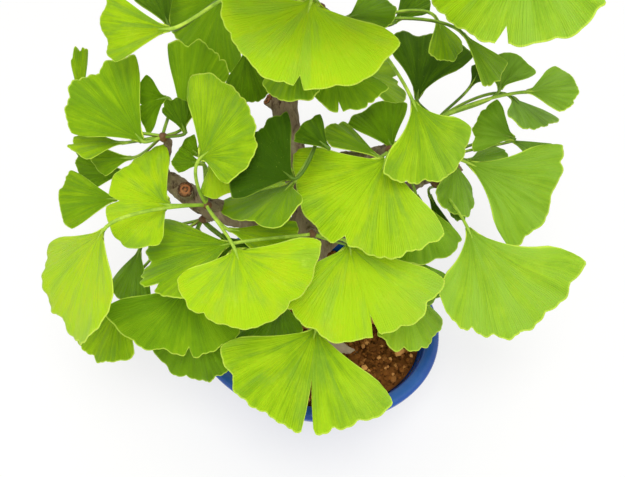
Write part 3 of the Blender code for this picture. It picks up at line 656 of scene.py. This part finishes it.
def blade_material(settings):
    made, wire = new_material("leaf_blade", Specular_IOR_Level=0.09, Subsurface_Weight=0.15,
                              Subsurface_Radius=(0.45, 1.0, 0.08), Subsurface_Scale=0.001)
    across, outwards, tone = (wire.attribute(name) for name in LEAF_LAYERS)
    bent = across + (wire.noise(160.0, 2.0) - 0.5) * 0.016
    veins = fan_veins(wire, bent, outwards)

    def fan_noise(columns, rows, detail, roughness):
        """Noise that runs with the veins, shifted for each leaf."""
        inputs = {"X": bent * columns, "Y": outwards * rows, "Z": tone * 37.0}
        return wire.noise(1.0, detail, roughness, wire.node("ShaderNodeCombineXYZ", 0, inputs))

    bands = fan_noise(4.2, 1.3, 3.0, 0.55).spread(0.3, 0.7, -0.5, 0.5)
    streaks = fan_noise(30.0, 1.6, 4.0, 0.6).spread(0.25, 0.75, -0.5, 0.5)
    patches = wire.mottle(95.0, 7.0, 0.3).spread(0.3, 0.7, -0.5, 0.5)
    pattern = (bands * 0.3 + streaks * 0.24 + patches * 0.15 + outwards.spread(0.05, 0.6, -0.5, 0.5) * 0.18
               + veins * 0.04)
    shade = tone + pattern * tone.spread(0.0, 0.9, 0.4, 1.0)
    # Painted sheen: a pale tint on the leaves of the right side of the tree and in cool bands on the brighter leaves.
    painted_sheen = wire.axis("X").spread(*PAINTED_SHEEN_SIDE) * bands.spread(-0.5, 0.5, 0.35, 0.75)
    cool_sheen = bands.spread(0.1, -0.5, 0.0, 0.34) * tone.spread(0.35, 0.75)
    blotches = wire.mottle(135.0, 5.0, 0.45).spread(0.54, 0.74) * outwards.spread(0.3, 0.85, 0.0, 0.34)
    rim = wire.maths("MAXIMUM", outwards.spread(0.978, 0.994), wire.maths("ABSOLUTE", across).spread(0.986, 0.997))
    # Dark, middle and bright follow the shade value built from the tone, so they paint the shade that the tone partly
    # stands for.
    colour = wire.over(
        settings.dark,
        (shade.spread(0.0, 0.5), settings.middle),
        (shade.spread(0.4, 1.05), settings.bright),
        (patches.spread(-0.1, 0.5) * tone.spread(0.45, 1.0, 0.0, 0.5), settings.yellow),
        (wire.maths("MAXIMUM", painted_sheen, cool_sheen), settings.painted_sheen),
        (blotches * tone.spread(0.4, 0.9), settings.margin),
        (wire.noise(1500.0, 2.0, 0.8).spread(0.66, 0.76, 0.0, 0.3), settings.margin),
        (outwards.spread(0.1, 0.01, 0.0, 0.35), settings.stalk),
        (rim * tone.spread(0.0, 0.5, 0.3, 0.9), settings.margin))
    wire.finish(Base_Color=colour, Roughness=streaks.spread(-0.4, 0.4, 0.42, 0.56),
                Normal=wire.bump(veins + (bands + streaks) * 1.6, 0.00022, 0.6))
    return made


def stalk_material(settings):
    made, wire = new_material("leaf_stalk", Roughness=0.45, Specular_IOR_Level=0.22)
    spots = wire.mottle(240.0)
    # The stalks darken with their leaf's tone, so where the tone paints shade the stalks take painted shade too.
    colour = wire.over(settings.stalk, (spots.spread(0.35, 0.75), settings.margin),
                       (wire.attribute("tone").spread(0.75, 0.0, 0.0, 0.85), settings.dark),
                       (wire.attribute("fan_v").spread(0.1, 0.0), settings.bud))
    wire.finish(Base_Color=colour, Normal=wire.bump(spots, 0.0001, 0.5))
    return made


def bud_material(settings):
    made, wire = new_material("leaf_bud", Specular_IOR_Level=0.35)
    spots = wire.mottle(420.0)
    scales = wire.over(settings.bud, (wire.attribute("tone"), settings.pale_bud))
    colour = wire.over(settings.bud, (spots.spread(0.4, 0.8, 0.0, 0.7), scales))
    wire.finish(Base_Color=colour, Roughness=spots.spread(0.2, 0.8, 0.42, 0.7), Normal=wire.bump(spots, 0.0002, 0.6))
    return made


def glaze_material(settings):
    made, wire = new_material("pot_glaze", Specular_IOR_Level=0.32, Coat_Weight=0.2, Coat_Roughness=0.06)
    pools = wire.mottle(34.0, 14.0, 0.25)
    pool_colour = [channel * lift for channel, lift in zip(settings.glaze, POOL_LIFT)]
    height = wire.axis("Z")
    # The lip's crown: partly thin glaze and partly painted sheen.
    edge = height.spread(POT_HEIGHT - 0.0016, POT_HEIGHT - 0.0001, 0.0, 0.3) * pools.spread(0.3, 0.62, 0.25, 1.0)
    speck = wire.noise(900.0, 2.0, 0.8).spread(0.66, 0.74, 0.0, 0.3)
    bare = height.spread(0.0016, 0.0006)
    colour = wire.over(settings.glaze, (pools.spread(0.3, 0.75), pool_colour),
                       (wire.maths("MAXIMUM", edge, speck), settings.thin_glaze_and_sheen), (bare, settings.clay))
    rough = wire.maths("ADD", pools.spread(0.2, 0.8, 0.14, 0.26), bare * 0.6, clamp=True)
    ripple = wire.noise(120.0, 2.0) + wire.noise(700.0, 2.0) * 0.2
    wire.finish(Base_Color=colour, Roughness=rough, Normal=wire.bump(ripple, 0.0005, 0.35))
    return made


def soil_material(settings):
    made, wire = new_material("soil_grains", Specular_IOR_Level=0.12)
    grain = wire.attribute("grain")
    dust = wire.mottle(520.0, 5.0, 0.5)
    colour = wire.over(settings.dark, (grain.spread(0.0, 0.5), settings.brown),
                       (grain.spread(0.55, 1.0), settings.tan), (dust.spread(0.42, 0.3, 0.0, 0.7), settings.dark))
    wire.finish(Base_Color=colour, Roughness=dust.spread(0.2, 0.8, 0.72, 0.96), Normal=wire.bump(dust, 0.0006, 0.9))
    return made


def bark_material(settings):
    made, wire = new_material("ginkgo_bark", Specular_IOR_Level=0.25)
    flakes = wire.mottle(260.0, 4.0, 0.45, (1.0, 1.0, 0.22))
    patches = wire.mottle(46.0, 8.0, 0.3)
    pores = wire.node("ShaderNodeTexVoronoi", "Distance", {"Vector": wire.place((1.0, 1.0, 1.7)), "Scale": 190.0})
    colour = wire.over(
        settings.bark,
        (flakes.spread(0.5, 0.34), settings.furrow),
        (flakes.spread(0.55, 0.7, 0.0, 0.7), settings.pale),
        (patches.spread(0.45, 0.75, 0.0, 0.55), settings.pale),
        (pores.spread(0.16, 0.08, 0.0, 0.6), settings.pale),
        (wire.axis("Z").spread(*ROOT_HEIGHTS, 0.0, 0.8), settings.root))
    wire.finish(Base_Color=colour, Roughness=flakes.spread(0.3, 0.7, 0.9, 0.72), Normal=wire.bump(flakes, 0.0007, 0.8))
    return made


def cut_material(settings):
    """Pruned wood with rings round the middle of whichever end is nearest."""
    made, wire = new_material("cut_wood", Specular_IOR_Level=0.2)
    away = 1.0
    for _, end, _ in STUBS:
        inputs = {0: wire.place(), 1: end}
        distance = wire.node("ShaderNodeVectorMath", "Value", inputs, operation="DISTANCE")
        away = wire.maths("MINIMUM", away, distance)
    rough = wire.noise(700.0, 3.0)
    rings = wire.maths("COSINE", away * 4600.0 + rough * 4.5)
    colour = wire.over(settings.cut, (rings.spread(-0.6, 0.9), settings.furrow),
                       (rough.spread(0.42, 0.62, 0.0, 0.6), settings.pale_cut),
                       (away.spread(0.0022, 0.003), settings.furrow))
    wire.finish(Base_Color=colour, Roughness=rough.spread(0.3, 0.7, 0.7, 0.9),
                Normal=wire.bump(rings + rough, 0.0003, 0.7))
    return made


def net_material(settings):
    made, wire = new_material("net_plastic", Specular_IOR_Level=0.4)
    grime = wire.mottle(500.0)
    colour = wire.over(settings.net, (grime.spread(0.4, 0.8, 0.0, 0.6), settings.grime))
    wire.finish(Base_Color=colour, Roughness=grime.spread(0.2, 0.8, 0.45, 0.75), Normal=wire.bump(grime, 0.0001, 0.5))
    return made


def floor_material(settings):
    made, wire = new_material("floor_paper", Roughness=0.85, Specular_IOR_Level=0.1,
                              Emission_Color=(1.0, 0.992, 0.985), Emission_Strength=settings.glow)
    shade = [channel * 0.985 for channel in settings.floor]
    wire.finish(Base_Color=wire.over(settings.floor, (wire.mottle(9.0).spread(0.3, 0.7), shade)))
    return made


# Pot and soil

def lip_arc(degrees):
    """The lip's round top: 0 degrees is its outer side and 180 its inner side."""
    turn = math.radians(degrees)
    across = LIP_WIDTH / 2 * (1 - math.cos(turn))
    return inset(RIM_HALF, across), POT_HEIGHT - LIP_CROWN * (1 - math.sin(turn))


def pot_sections():
    """The outside from base to lip, the lip's arc and the inside from lip to floor."""
    lip_low = POT_HEIGHT - LIP_DROP
    neck = (inset(RIM_HALF, NECK_INSET), lip_low - NECK_DROP)
    belly = (inset(RIM_HALF, BELLY_INSET), BELLY_HEIGHT)
    outside = [(FOOT_HALF, FLOOR_BOTTOM), (inset(FOOT_HALF, -FLOOR_ROUND), FLOOR_TOP), belly, neck]
    under_lip = [neck, (inset(RIM_HALF, LIP_UNDERCUT), lip_low), lip_arc(0)]
    lip = [lip_arc(degrees) for degrees in range(0, 181, LIP_STEP)]
    inside = [lip_arc(180), (inset(neck[0], WALL - NECK_DROP), neck[1]), (inset(belly[0], WALL), BELLY_HEIGHT),
              (inset(FOOT_HALF, WALL - FLOOR_ROUND), FLOOR_TOP + FLOOR_ROUND), (inset(FOOT_HALF, WALL), FLOOR_TOP)]
    return outside, under_lip, lip, inside


def straight(points, steps):
    """More points along straight lines through a section's points."""
    result = []
    for (half, height), (next_half, next_height) in zip(points, points[1:]):
        for t in (step / steps for step in range(steps)):
            result.append((half.lerp(next_half, t), height * (1 - t) + next_height * t))
    return result + [points[-1]]


def cone_mesh(place, low_radius, high_radius, depth):
    """An upright round solid whose lower end stands at a place, with a small bevel round its ends."""
    bm = bmesh.new()
    bmesh.ops.create_cone(bm, cap_ends=True, segments=CONE_SIDES, radius1=low_radius, radius2=high_radius, depth=depth)
    rims = [edge for edge in bm.edges if any(len(face.verts) > 4 for face in edge.link_faces)]
    bmesh.ops.bevel(bm, geom=rims, offset=CONE_BEVEL, offset_type="OFFSET", segments=3, profile=0.5,
                    affect="EDGES", material=-1)
    bmesh.ops.translate(bm, verts=bm.verts, vec=(place[0], place[1], place[2] + depth / 2))
    return mesh_from("cone", bm)


def pot_mesh():
    outside, under_lip, lip, inside = pot_sections()
    centre = Vector((0.0, 0.0))
    section = ([(centre, FLOOR_BOTTOM)] + straight(outside, WALL_STEPS)[:-1] + under_lip[:-1] + lip[:-1]
               + straight(inside, WALL_STEPS) + [(centre, FLOOR_TOP)])
    bm = turned_oval(section)
    drains = [cone_mesh((DRAIN_PLACE * side, 0.0, FLOOR_TOP - DRAIN_CUT / 2), DRAIN_RADIUS, DRAIN_RADIUS, DRAIN_CUT)
              for side in (-1, 1)]
    body = without(mesh_from("pot_body", bm), drains)
    bm = bmesh.new()
    bm.from_mesh(body)
    for side in (-1, 1):
        for end in (-1, 1):
            bm.from_mesh(cone_mesh((FOOT_PLACE[0] * side, FOOT_PLACE[1] * end, 0.0),
                                   FOOT_RADIUS * FOOT_TAPER, FOOT_RADIUS, FLOOR_BOTTOM + FOOT_SINK))
    return mesh_from("pot_glazed", bm)


def soil_height(x, y):
    """The soil's surface: a low mound towards the trunk, with the relief of coarse grains."""
    reach = math.hypot(x / (RIM_HALF.x - LIP_WIDTH), y / (RIM_HALF.y - LIP_WIDTH))
    grains = noise.noise(Vector((x, y, 0.4)) * 260) + 0.6 * noise.noise(Vector((x, y, 2.7)) * 610)
    return SOIL_EDGE_HEIGHT + SOIL_RISE * max(0.0, 1 - reach * reach) + SOIL_ROUGHNESS * grains


def soil_edge():
    """Half sizes of the soil's top."""
    return inset(pot_sections()[3][1][0], GAP)


def soil_mesh():
    """The bed under the loose grains. The top's marked points, above its edge, take the mound's relief."""
    inside = pot_sections()[3]
    edge = soil_edge()
    top = [(edge * ring / SOIL_RINGS, SOIL_EDGE_HEIGHT + (BED_MARK if ring < SOIL_RINGS else 0.0))
           for ring in range(SOIL_RINGS + 1)]
    floor = FLOOR_TOP + NET_THICKNESS + 2 * GAP
    low = [(inset(half, 2 * GAP), height) for half, height in inside[2:4]] + [(inset(inside[4][0], 2 * GAP), floor)]
    bm = turned_oval(top + low + [(Vector((0.0, 0.0)), floor)])
    for vert in bm.verts:
        if vert.co.z > SOIL_EDGE_HEIGHT + GAP:
            fine = 0.5 * noise.noise(vert.co * 1300)
            vert.co.z = soil_height(vert.co.x, vert.co.y) - BED_DROP + SOIL_ROUGHNESS * fine
    grain = bm.verts.layers.float.new("grain")
    for vert in bm.verts:
        vert[grain] = 0.25 + 0.25 * noise.noise(vert.co * 700)
    return mesh_from("soil_bed", bm)


def grains_mesh(settings):
    """Loose grains over the soil: many small dark crumbs and fewer, larger and lighter ones."""
    draw = random.Random(GRAIN_SEED)
    edge = inset(soil_edge(), GRAIN_MARGIN)
    trunk, trunk_radius = TRUNK[1]
    result = bmesh.new()
    result.verts.layers.float.new("grain")
    sizes = [draw.uniform(0.0005, 0.0011) for _ in range(settings.crumbs)]
    sizes += [0.0010 + 0.0011 * draw.random() ** 1.6 for _ in range(settings.grains)]
    for first in range(0, len(sizes), GRAIN_BATCH):
        bm = bmesh.new()
        grain = bm.verts.layers.float.new("grain")
        for index, size in enumerate(sizes[first:first + GRAIN_BATCH], first):
            reach, turn = math.sqrt(draw.random()), draw.uniform(0, 2 * math.pi)
            span = inset(edge, size)
            x, y = span.x * reach * math.cos(turn), span.y * reach * math.sin(turn)
            if math.hypot(x - trunk.x, y - trunk.y) < trunk_radius + size:
                continue
            large = index >= settings.crumbs
            light = draw.random()
            tone = 0.25 + 0.75 * light ** 1.8 if large else 0.60 * light ** 1.4
            place = Vector((x, y, soil_height(x, y) + size * draw.uniform(-0.45, 0.35)))
            made = bmesh.ops.create_icosphere(bm, subdivisions=1, radius=1.0)["verts"]
            squat = Vector((draw.uniform(0.75, 1.25), draw.uniform(0.75, 1.25), draw.uniform(0.6, 0.95)))
            spin = draw.uniform(0, math.pi)
            for vert in made:
                lump = vert.co * (1 + 0.28 * noise.noise(vert.co * 1.7 + Vector((index, 0, 0))))
                lump = Vector((lump.x * squat.x, lump.y * squat.y, lump.z * squat.z))
                vert.co = place + size * Vector((lump.x * math.cos(spin) - lump.y * math.sin(spin),
                                                 lump.x * math.sin(spin) + lump.y * math.cos(spin), lump.z))
                vert[grain] = tone
        batch = mesh_from("batch", bm)
        result.from_mesh(batch)
        bpy.data.meshes.remove(batch)
    return mesh_from("soil_grains", result)


# Wood

def twig_line(bud, twig):
    """A short spur from the wood to just short of the bud, with the rings that yearly leaf falls leave."""
    away = (bud - twig).normalized()
    end = bud - away * (BUD_RADIUS * 0.5)
    line = smooth_line([(twig, TWIG_TIP * 1.25), (twig.lerp(end, 0.55), TWIG_TIP * 1.05), (end, TWIG_TIP * 1.3)],
                       TWIG_STEPS)
    rings = max(4, round((end - twig).length / SPUR_RING_STEP))
    result = []
    for index, (place, radius) in enumerate(line):
        t = index / (len(line) - 1)
        swell = SPUR_RING_SWELL * math.sin(2 * math.pi * rings * t) * min(1.0, 1.6 * t)
        result.append((place, radius * (1 + swell)))
    return result


def root_lines():
    """Low roots that spread from the trunk's foot and sink into the soil."""
    draw = random.Random(ROOT_SEED)
    foot = mm(12.2, -11.2, 0)
    lines = []
    for index in range(ROOTS):
        turn = 2 * math.pi * index / ROOTS + draw.uniform(-0.3, 0.3)
        out = Vector((math.cos(turn), math.sin(turn), 0.0))
        reach = draw.uniform(0.012, 0.017)
        lines.append([(foot + out * away + Vector((0, 0, height)), radius) for away, height, radius in (
            (0.0035, 0.0535, 0.0028), (0.0072, 0.0478, 0.0026), (0.0072 + reach * 0.35, 0.0448, 0.0020),
            (reach, 0.0430, 0.0012))])
    return lines


def wood_mesh(settings):
    """The trunk, its branches, stubs and roots grown together, with bark relief and ringed spurs."""
    bm = bmesh.new()
    for line in (TRUNK, *BRANCHES.values(), *root_lines()):
        tube(bm, smooth_line(line, TUBE_STEPS), TUBE_SIDES)
    for start, end, radius in STUBS:
        tube(bm, [(start, radius), (start.lerp(end, 0.5), radius), (end, radius * STUB_TAPER)], TUBE_SIDES)
    grown = modified(mesh_from("wood", bm), "REMESH", {"mode": "VOXEL", "voxel_size": BARK_VOXEL})
    bm = bmesh.new()
    bm.from_mesh(grown)
    for _ in range(BARK_SMOOTHINGS):
        bmesh.ops.smooth_vert(bm, verts=bm.verts, factor=0.5, use_axis_x=True, use_axis_y=True, use_axis_z=True)
    bm.normal_update()
    for vert in bm.verts:
        place = Vector((vert.co.x, vert.co.y, vert.co.z * BARK_STRETCH))
        ridge = 1 - abs(noise.noise(place * RIDGE_SCALE)) * 2
        small = noise.noise(place * FLECK_SCALE)
        vert.co += vert.normal * settings.relief * (ridge - 0.75 + 0.45 * small)
    for start, end, radius in STUBS:
        for face in bm.faces:
            near = (face.calc_center_median() - end).length < radius * 0.98
            if near and face.normal.dot((end - start).normalized()) > CUT_SLOPE:
                face.material_index = 1
    for _, bud, twig, _ in spray_blades():
        tube(bm, twig_line(bud, twig), TWIG_SIDES)
    return mesh_from("trunk_bark", bm)


# Leaves

class Blade:
    """One leaf's place and form: its plane, its reach at the tip and corners, its notches and waves."""

    def __init__(self, apex, tip, side_axis, low, high, notches, waist, seed, tone):
        self.apex = apex
        self.reach = (tip - apex).length
        self.along = (tip - apex).normalized()
        self.side = (side_axis - self.along * side_axis.dot(self.along)).normalized()
        self.normal = self.along.cross(self.side)
        if self.normal.z < 0:
            self.side, self.normal = -self.side, -self.normal
            low, high = (-high[0], high[1]), (-low[0], low[1])
        self.low, self.high = low, high
        self.notches, self.waist, self.tone = notches, waist, tone
        self.phase = random.Random(seed).uniform(0, 2 * math.pi)

    def angle(self, u):
        corner = self.low[0] if u < 0 else self.high[0]
        return corner * abs(u) / CORNER

    def scallops(self, u):
        """Rounded lobes with narrow clefts between them, in stretches, and small ones on them."""
        span = self.high[0] - self.low[0]
        turn = math.pi / 4 * span * self.reach / LOBE_SIZE * u + 1.6 * math.sin(2.3 * u + self.phase) + self.phase
        size = 0.25 + 0.75 * math.sin(2.9 * u + 2 * self.phase) ** 2
        fine = 0.24 * (abs(math.sin(2.3 * turn + 1.0)) - 0.6)
        return size * (abs(math.sin(turn)) ** 0.8 - 0.7 + 0.22 * math.cos(turn)) + fine

    def margin(self, u):
        """Reach of the outer edge at u, from -1 at one side to 1 at the other."""
        corner = self.low[1] if u < 0 else self.high[1]
        share = min(1.0, abs(u) / CORNER)
        reach = self.reach + (corner - self.reach) * share ** 1.7
        reach *= 1 + 0.022 * math.sin(9.0 * u + self.phase) * (1 - share ** 4)
        reach *= 1 + SCALLOP * self.scallops(u) * (1 - 0.7 * share ** 6)
        if abs(u) > CORNER:
            reach *= 1 - 0.24 * ((abs(u) - CORNER) / (1 - CORNER)) ** 2
        for place, depth, width in self.notches:
            reach *= 1 - depth * max(0.0, 1 - abs(u - place) / width) ** 0.8
        return reach

    def point(self, u, v):
        """A point of the blade's middle surface: v is 0 at the stalk and 1 at the outer edge."""
        narrow = self.waist + (1 - self.waist) * min(1.0, v / 0.85) ** 1.3
        reach = self.margin(u) * v
        neck = math.exp(-(reach / FLARE) ** 1.4)
        angle = self.angle(u) * narrow * (1 - 0.6 * neck)
        flat = self.apex + self.along * reach * math.cos(angle) + self.side * reach * math.sin(angle)
        flat += self.side * STALK_RADIUS * u * neck - self.along * NECK * neck
        lift = WAVE * v * v * math.sin(5.2 * u + self.phase)
        lift += 0.10 * v * (1 - v) * (1 - 0.5 * abs(u))
        lift += RUFFLE * v ** 4 * math.sin(12.0 * u + 2.0 * self.phase)
        lift += PLEAT * v * math.cos(44.0 * u)
        return flat + self.normal * self.reach * lift


def blade_from_picks(leaf, seed):
    """A blade from its lines of sight, turned about its middle so that its sides reach as far as its tip."""
    apex = sight(*leaf.apex)
    tip = sight(*leaf.tip)
    along = (tip - apex).normalized()
    level = Vector((0, 0, 1)).cross(along).normalized()
    steep = along.cross(level)
    best = None
    for step in range(-BANK_STEPS, BANK_STEPS + 1):
        turn = BANK_STEP * step
        side = level * math.cos(turn) + steep * math.sin(turn)
        normal = along.cross(side)
        corners = []
        for pick in (leaf.side, leaf.other_side):
            ray = sight(*pick, 0.0) - EYE
            depth = (apex - EYE).dot(normal) / ray.dot(normal)
            offset = EYE + ray * depth - apex
            corners.append((math.atan2(offset.dot(side), offset.dot(along)), offset.length))
        corners.sort()
        reach = (tip - apex).length
        uneven = sum(abs(math.log(length / reach)) for _, length in corners) + BANK_COST * abs(step) ** 1.3
        if best is None or uneven < best[0]:
            best = (uneven, side, corners)
    _, side, corners = best
    return Blade(apex, tip, side, corners[0], corners[1], leaf.notches, leaf.waist, seed, leaf.tone)


def ring_blades(ring):
    """Blades that stand round a bud by a fixed turn, with small seeded differences."""
    draw = random.Random(ring.seed)
    tones = random.Random(ring.seed + 100)

    def vary(middle, share):
        return middle * draw.uniform(1 - share, 1 + share)

    blades = []
    for index in range(ring.count):
        bearing = math.radians(ring.bearing + ring.turn * index + draw.uniform(-6, 6))
        rise = ring.rise + draw.uniform(-RING_JITTER, RING_JITTER) + RING_STAGGER * (index % 2)
        out = Vector((math.cos(bearing), math.sin(bearing), rise)).normalized()
        apex = ring.bud + out * vary(ring.stalk, 0.1)
        fall = Vector((math.cos(bearing), math.sin(bearing), rise - RING_FALL)).normalized()
        tip = apex + fall * vary(ring.reach, 0.08)
        across = Vector((-math.sin(bearing), math.cos(bearing), draw.uniform(-0.2, 0.2)))
        spread = math.radians(draw.uniform(*RING_SPREAD))
        reach = vary(ring.reach * 0.96, 0.04)
        notch = ((draw.uniform(-0.15, 0.15), draw.uniform(0.1, 0.3), 0.05),)
        blades.append(Blade(apex, tip, across, (-spread, reach), (spread, reach), notch, RING_WAIST,
                            ring.seed * 10 + index, tones.uniform(0.45, 0.95)))
    return blades


def spray_blades():
    """Every spray's name, bud, twig start and blades."""
    result = {}
    for name, spray in SPRAYS.items():
        blades = [blade_from_picks(leaf, 31 * index + len(name)) for index, leaf in enumerate(spray.leaves)]
        result[name] = (name, spray.bud, spray.twig, blades)
    for name, ring in RINGS.items():
        result.setdefault(name, (name, ring.bud, ring.twig, []))[3].extend(ring_blades(ring))
    return list(result.values())


def blade_columns(blade):
    """Even steps across the blade, with the nearest step moved to each notch."""
    columns = [-1 + 2 * step / BLADE_COLUMNS for step in range(BLADE_COLUMNS + 1)]
    for place, _, _ in blade.notches:
        nearest = min(range(2, BLADE_COLUMNS - 1), key=lambda index: abs(columns[index] - place))
        columns[nearest] = place
    return columns


def add_blade(bm, layers, blade, thickness):
    """A thin fan: a grid bent to the blade's surface and given its thickness."""
    columns = blade_columns(blade)
    made = bmesh.ops.create_grid(bm, x_segments=BLADE_COLUMNS, y_segments=BLADE_ROWS, size=1.0)["verts"]
    for vert in made:
        u = columns[round((vert.co.x + 1) / 2 * BLADE_COLUMNS)]
        row = round((vert.co.y + 1) / 2 * BLADE_ROWS) / BLADE_ROWS
        v = BLADE_START + (1 - BLADE_START) * (1 - (1 - row) ** 1.35)
        vert.co = blade.point(u, v) + blade.normal * thickness / 2
        for layer, value in zip(layers, (u, v, blade.tone)):
            vert[layer] = value
    faces = faces_of(made)
    for face in faces:
        face.normal_update()
    if sum(face.normal.dot(blade.normal) for face in faces) < 0:
        bmesh.ops.reverse_faces(bm, faces=faces)
    bmesh.ops.solidify(bm, geom=faces, thickness=thickness)


def stalk_line(bud, twig, blade):
    """The stalk leaves the bud away from its twig, meets the blade along its middle and fades into it."""
    length = (blade.apex - bud).length
    away = (bud - twig).normalized()
    start = bud + (away * 0.6 + (blade.apex - bud).normalized() * 0.4) * length * 0.22
    end = blade.apex - blade.along * length * 0.25
    line = []
    for step in range(STALK_STEPS + 1):
        t = step / STALK_STEPS
        place = (bud * (1 - t) ** 3 + start * 3 * t * (1 - t) ** 2
                 + end * 3 * t * t * (1 - t) + blade.apex * t ** 3)
        swell = 1.0 + 0.5 * max(0.0, 1 - t / 0.12) + 0.15 * max(0.0, (t - 0.85) / 0.15)
        line.append((place, STALK_RADIUS * swell))
    for share in (0.25, 0.5, 0.75, 1.0):
        v = share * STALK_SINK / blade.reach
        line.append((blade.point(0.0, v), STALK_RADIUS * (1.10 - 0.98 * share)))
    return line


def add_bud(bm, layers, bud, twig):
    """A blunt bud with scales that lie over each other in a spiral."""
    away = (bud - twig).normalized()
    line = []
    for step in range(BUD_STEPS + 1):
        t = step / BUD_STEPS
        round_form = math.sqrt(max(0.0, 1 - (2 * t - 1) ** 2)) * (1.05 - 0.25 * t)
        scale = 1 - 0.16 * ((3.5 * t) % 1.0)
        line.append((bud + away * BUD_RADIUS * (2.2 * t - 1.1), max(1e-4, BUD_RADIUS * round_form * scale)))
    for vert in tube(bm, line, BUD_SIDES, 2):
        vert[layers[2]] = 0.5 + 0.5 * noise.noise(vert.co * 900)


def foliage_mesh(name, bud, twig, blades, thickness):
    bm = bmesh.new()
    layers = [bm.verts.layers.float.new(layer) for layer in LEAF_LAYERS]
    for blade in blades:
        add_blade(bm, layers, blade, thickness)
    for blade in blades:
        line = stalk_line(bud, twig, blade)
        for vert in tube(bm, line, STALK_SIDES, 1):
            nearest = min(range(len(line)), key=lambda index: (line[index][0] - vert.co).length_squared)
            vert[layers[1]], vert[layers[2]] = nearest / len(line), blade.tone
    add_bud(bm, layers, bud, twig)
    return mesh_from(name, bm)


# Stage

def make_camera():
    lens = assign(bpy.data.cameras.new("camera"), sensor_width=SENSOR, lens=LENS * SENSOR / PICTURE.x)
    camera = new_object("camera", lens)
    camera.location = EYE
    camera.rotation_euler = (math.pi / 2 - LOOK_ELEVATION, 0.0, LOOK_AZIMUTH)
    bpy.context.scene.camera = camera


def make_lights(settings):
    """A large soft key light and an even white sky."""
    light = assign(bpy.data.lights.new("key", "AREA"), shape="DISK", size=KEY_SIZE, energy=settings.key,
                   color=KEY_COLOUR)
    made = new_object("key", light)
    made.location = KEY_PLACE
    made.rotation_euler = (KEY_AIM - KEY_PLACE).to_track_quat("-Z", "Y").to_euler()
    world = bpy.data.worlds.new("studio")
    world.use_nodes = True
    sky = world.node_tree.nodes["Background"]
    sky.inputs["Color"].default_value = (1.0, 1.0, 1.0, 1.0)
    sky.inputs["Strength"].default_value = settings.sky
    bpy.context.scene.world = world


def make_floor(settings):
    bm = bmesh.new()
    bmesh.ops.create_grid(bm, x_segments=2, y_segments=2, size=FLOOR_HALF)
    floor = new_object("floor", mesh_from("floor", bm))
    floor.data.materials.append(floor_material(settings))


# Operators

class GINKGO_OT_pot(bpy.types.Operator):
    """Build the glazed pot with its lip, feet and drain holes"""
    bl_idname = "ginkgo.pot"
    bl_label = "Pot"

    def execute(self, context):
        settings = context.scene.ginkgo_pot
        made = piece("pot_glazed", pot_mesh(), [glaze_material(settings)], "glaze", "pot")
        made.data.set_sharp_from_angle(angle=SHARP_ANGLE)
        net = net_material(settings)
        for name in ("drain_net_left", "drain_net_right"):
            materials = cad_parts[name].data.materials
            materials.clear()
            materials.append(net)
        return {"FINISHED"}


class GINKGO_OT_soil(bpy.types.Operator):
    """Fill the pot with soil and strew its loose grains"""
    bl_idname = "ginkgo.soil"
    bl_label = "Soil"

    def execute(self, context):
        settings = context.scene.ginkgo_soil
        surfaces = [soil_material(settings)]
        piece("soil_bed", soil_mesh(), surfaces, "soil", "soil")
        grains = piece("soil_grains", grains_mesh(settings), surfaces, "soil")
        grains.data.shade_flat()
        return {"FINISHED"}


class GINKGO_OT_wood(bpy.types.Operator):
    """Grow the trunk, branches, pruned stubs, roots and spurs"""
    bl_idname = "ginkgo.wood"
    bl_label = "Trunk and branches"

    def execute(self, context):
        settings = context.scene.ginkgo_wood
        surfaces = [bark_material(settings), cut_material(settings)]
        piece("trunk_bark", wood_mesh(settings), surfaces, "bark", "trunk_and_branches")
        return {"FINISHED"}


class GINKGO_OT_foliage(bpy.types.Operator):
    """Grow the sprays of leaves, each with its bud and stalks"""
    bl_idname = "ginkgo.foliage"
    bl_label = "Leaves"

    def execute(self, context):
        settings = context.scene.ginkgo_leaf
        surfaces = [make(settings) for make in (blade_material, stalk_material, bud_material)]
        for node, bud, twig, blades in spray_blades():
            name = node.replace("leaves", "foliage")
            piece(name, foliage_mesh(name, bud, twig, blades, settings.thickness), surfaces, "leaf", node)
        return {"FINISHED"}


class GINKGO_OT_stage(bpy.types.Operator):
    """Set the floor, the light and the camera"""
    bl_idname = "ginkgo.stage"
    bl_label = "Floor, light and camera"

    def execute(self, context):
        settings = context.scene.ginkgo_stage
        make_floor(settings)
        make_lights(settings)
        make_camera()
        context.scene.view_settings.view_transform = "Standard"
        return {"FINISHED"}


OPERATORS = (GINKGO_OT_stage, GINKGO_OT_pot, GINKGO_OT_soil, GINKGO_OT_wood, GINKGO_OT_foliage)
SETTINGS = {
    "ginkgo_leaf": GinkgoLeafSettings,
    "ginkgo_pot": GinkgoPotSettings,
    "ginkgo_soil": GinkgoSoilSettings,
    "ginkgo_wood": GinkgoWoodSettings,
    "ginkgo_stage": GinkgoStageSettings,
}


class GINKGO_PT_sidebar(bpy.types.Panel):
    """The pieces of the bonsai and their settings"""
    bl_idname = "GINKGO_PT_sidebar"
    bl_label = "Ginkgo Bonsai"
    bl_space_type = "VIEW_3D"
    bl_region_type = "UI"
    bl_category = "Ginkgo"

    def draw(self, context):
        for operator in OPERATORS:
            self.layout.operator(operator.bl_idname)
        for name, group in SETTINGS.items():
            box = self.layout.box()
            for key in group.__annotations__:
                box.prop(getattr(context.scene, name), key)


CLASSES = (*SETTINGS.values(), *OPERATORS, GINKGO_PT_sidebar)


def register():
    for known in CLASSES:
        bpy.utils.register_class(known)
    for name, group in SETTINGS.items():
        setattr(bpy.types.Scene, name, PointerProperty(type=group))


def unregister():
    for name in SETTINGS:
        delattr(bpy.types.Scene, name)
    for known in reversed(CLASSES):
        bpy.utils.unregister_class(known)


def main():
    register()
    bpy.ops.ginkgo.stage()
    bpy.ops.ginkgo.pot()
    bpy.ops.ginkgo.soil()
    bpy.ops.ginkgo.wood()
    bpy.ops.ginkgo.foliage()


if __name__ == "__main__":
    main()
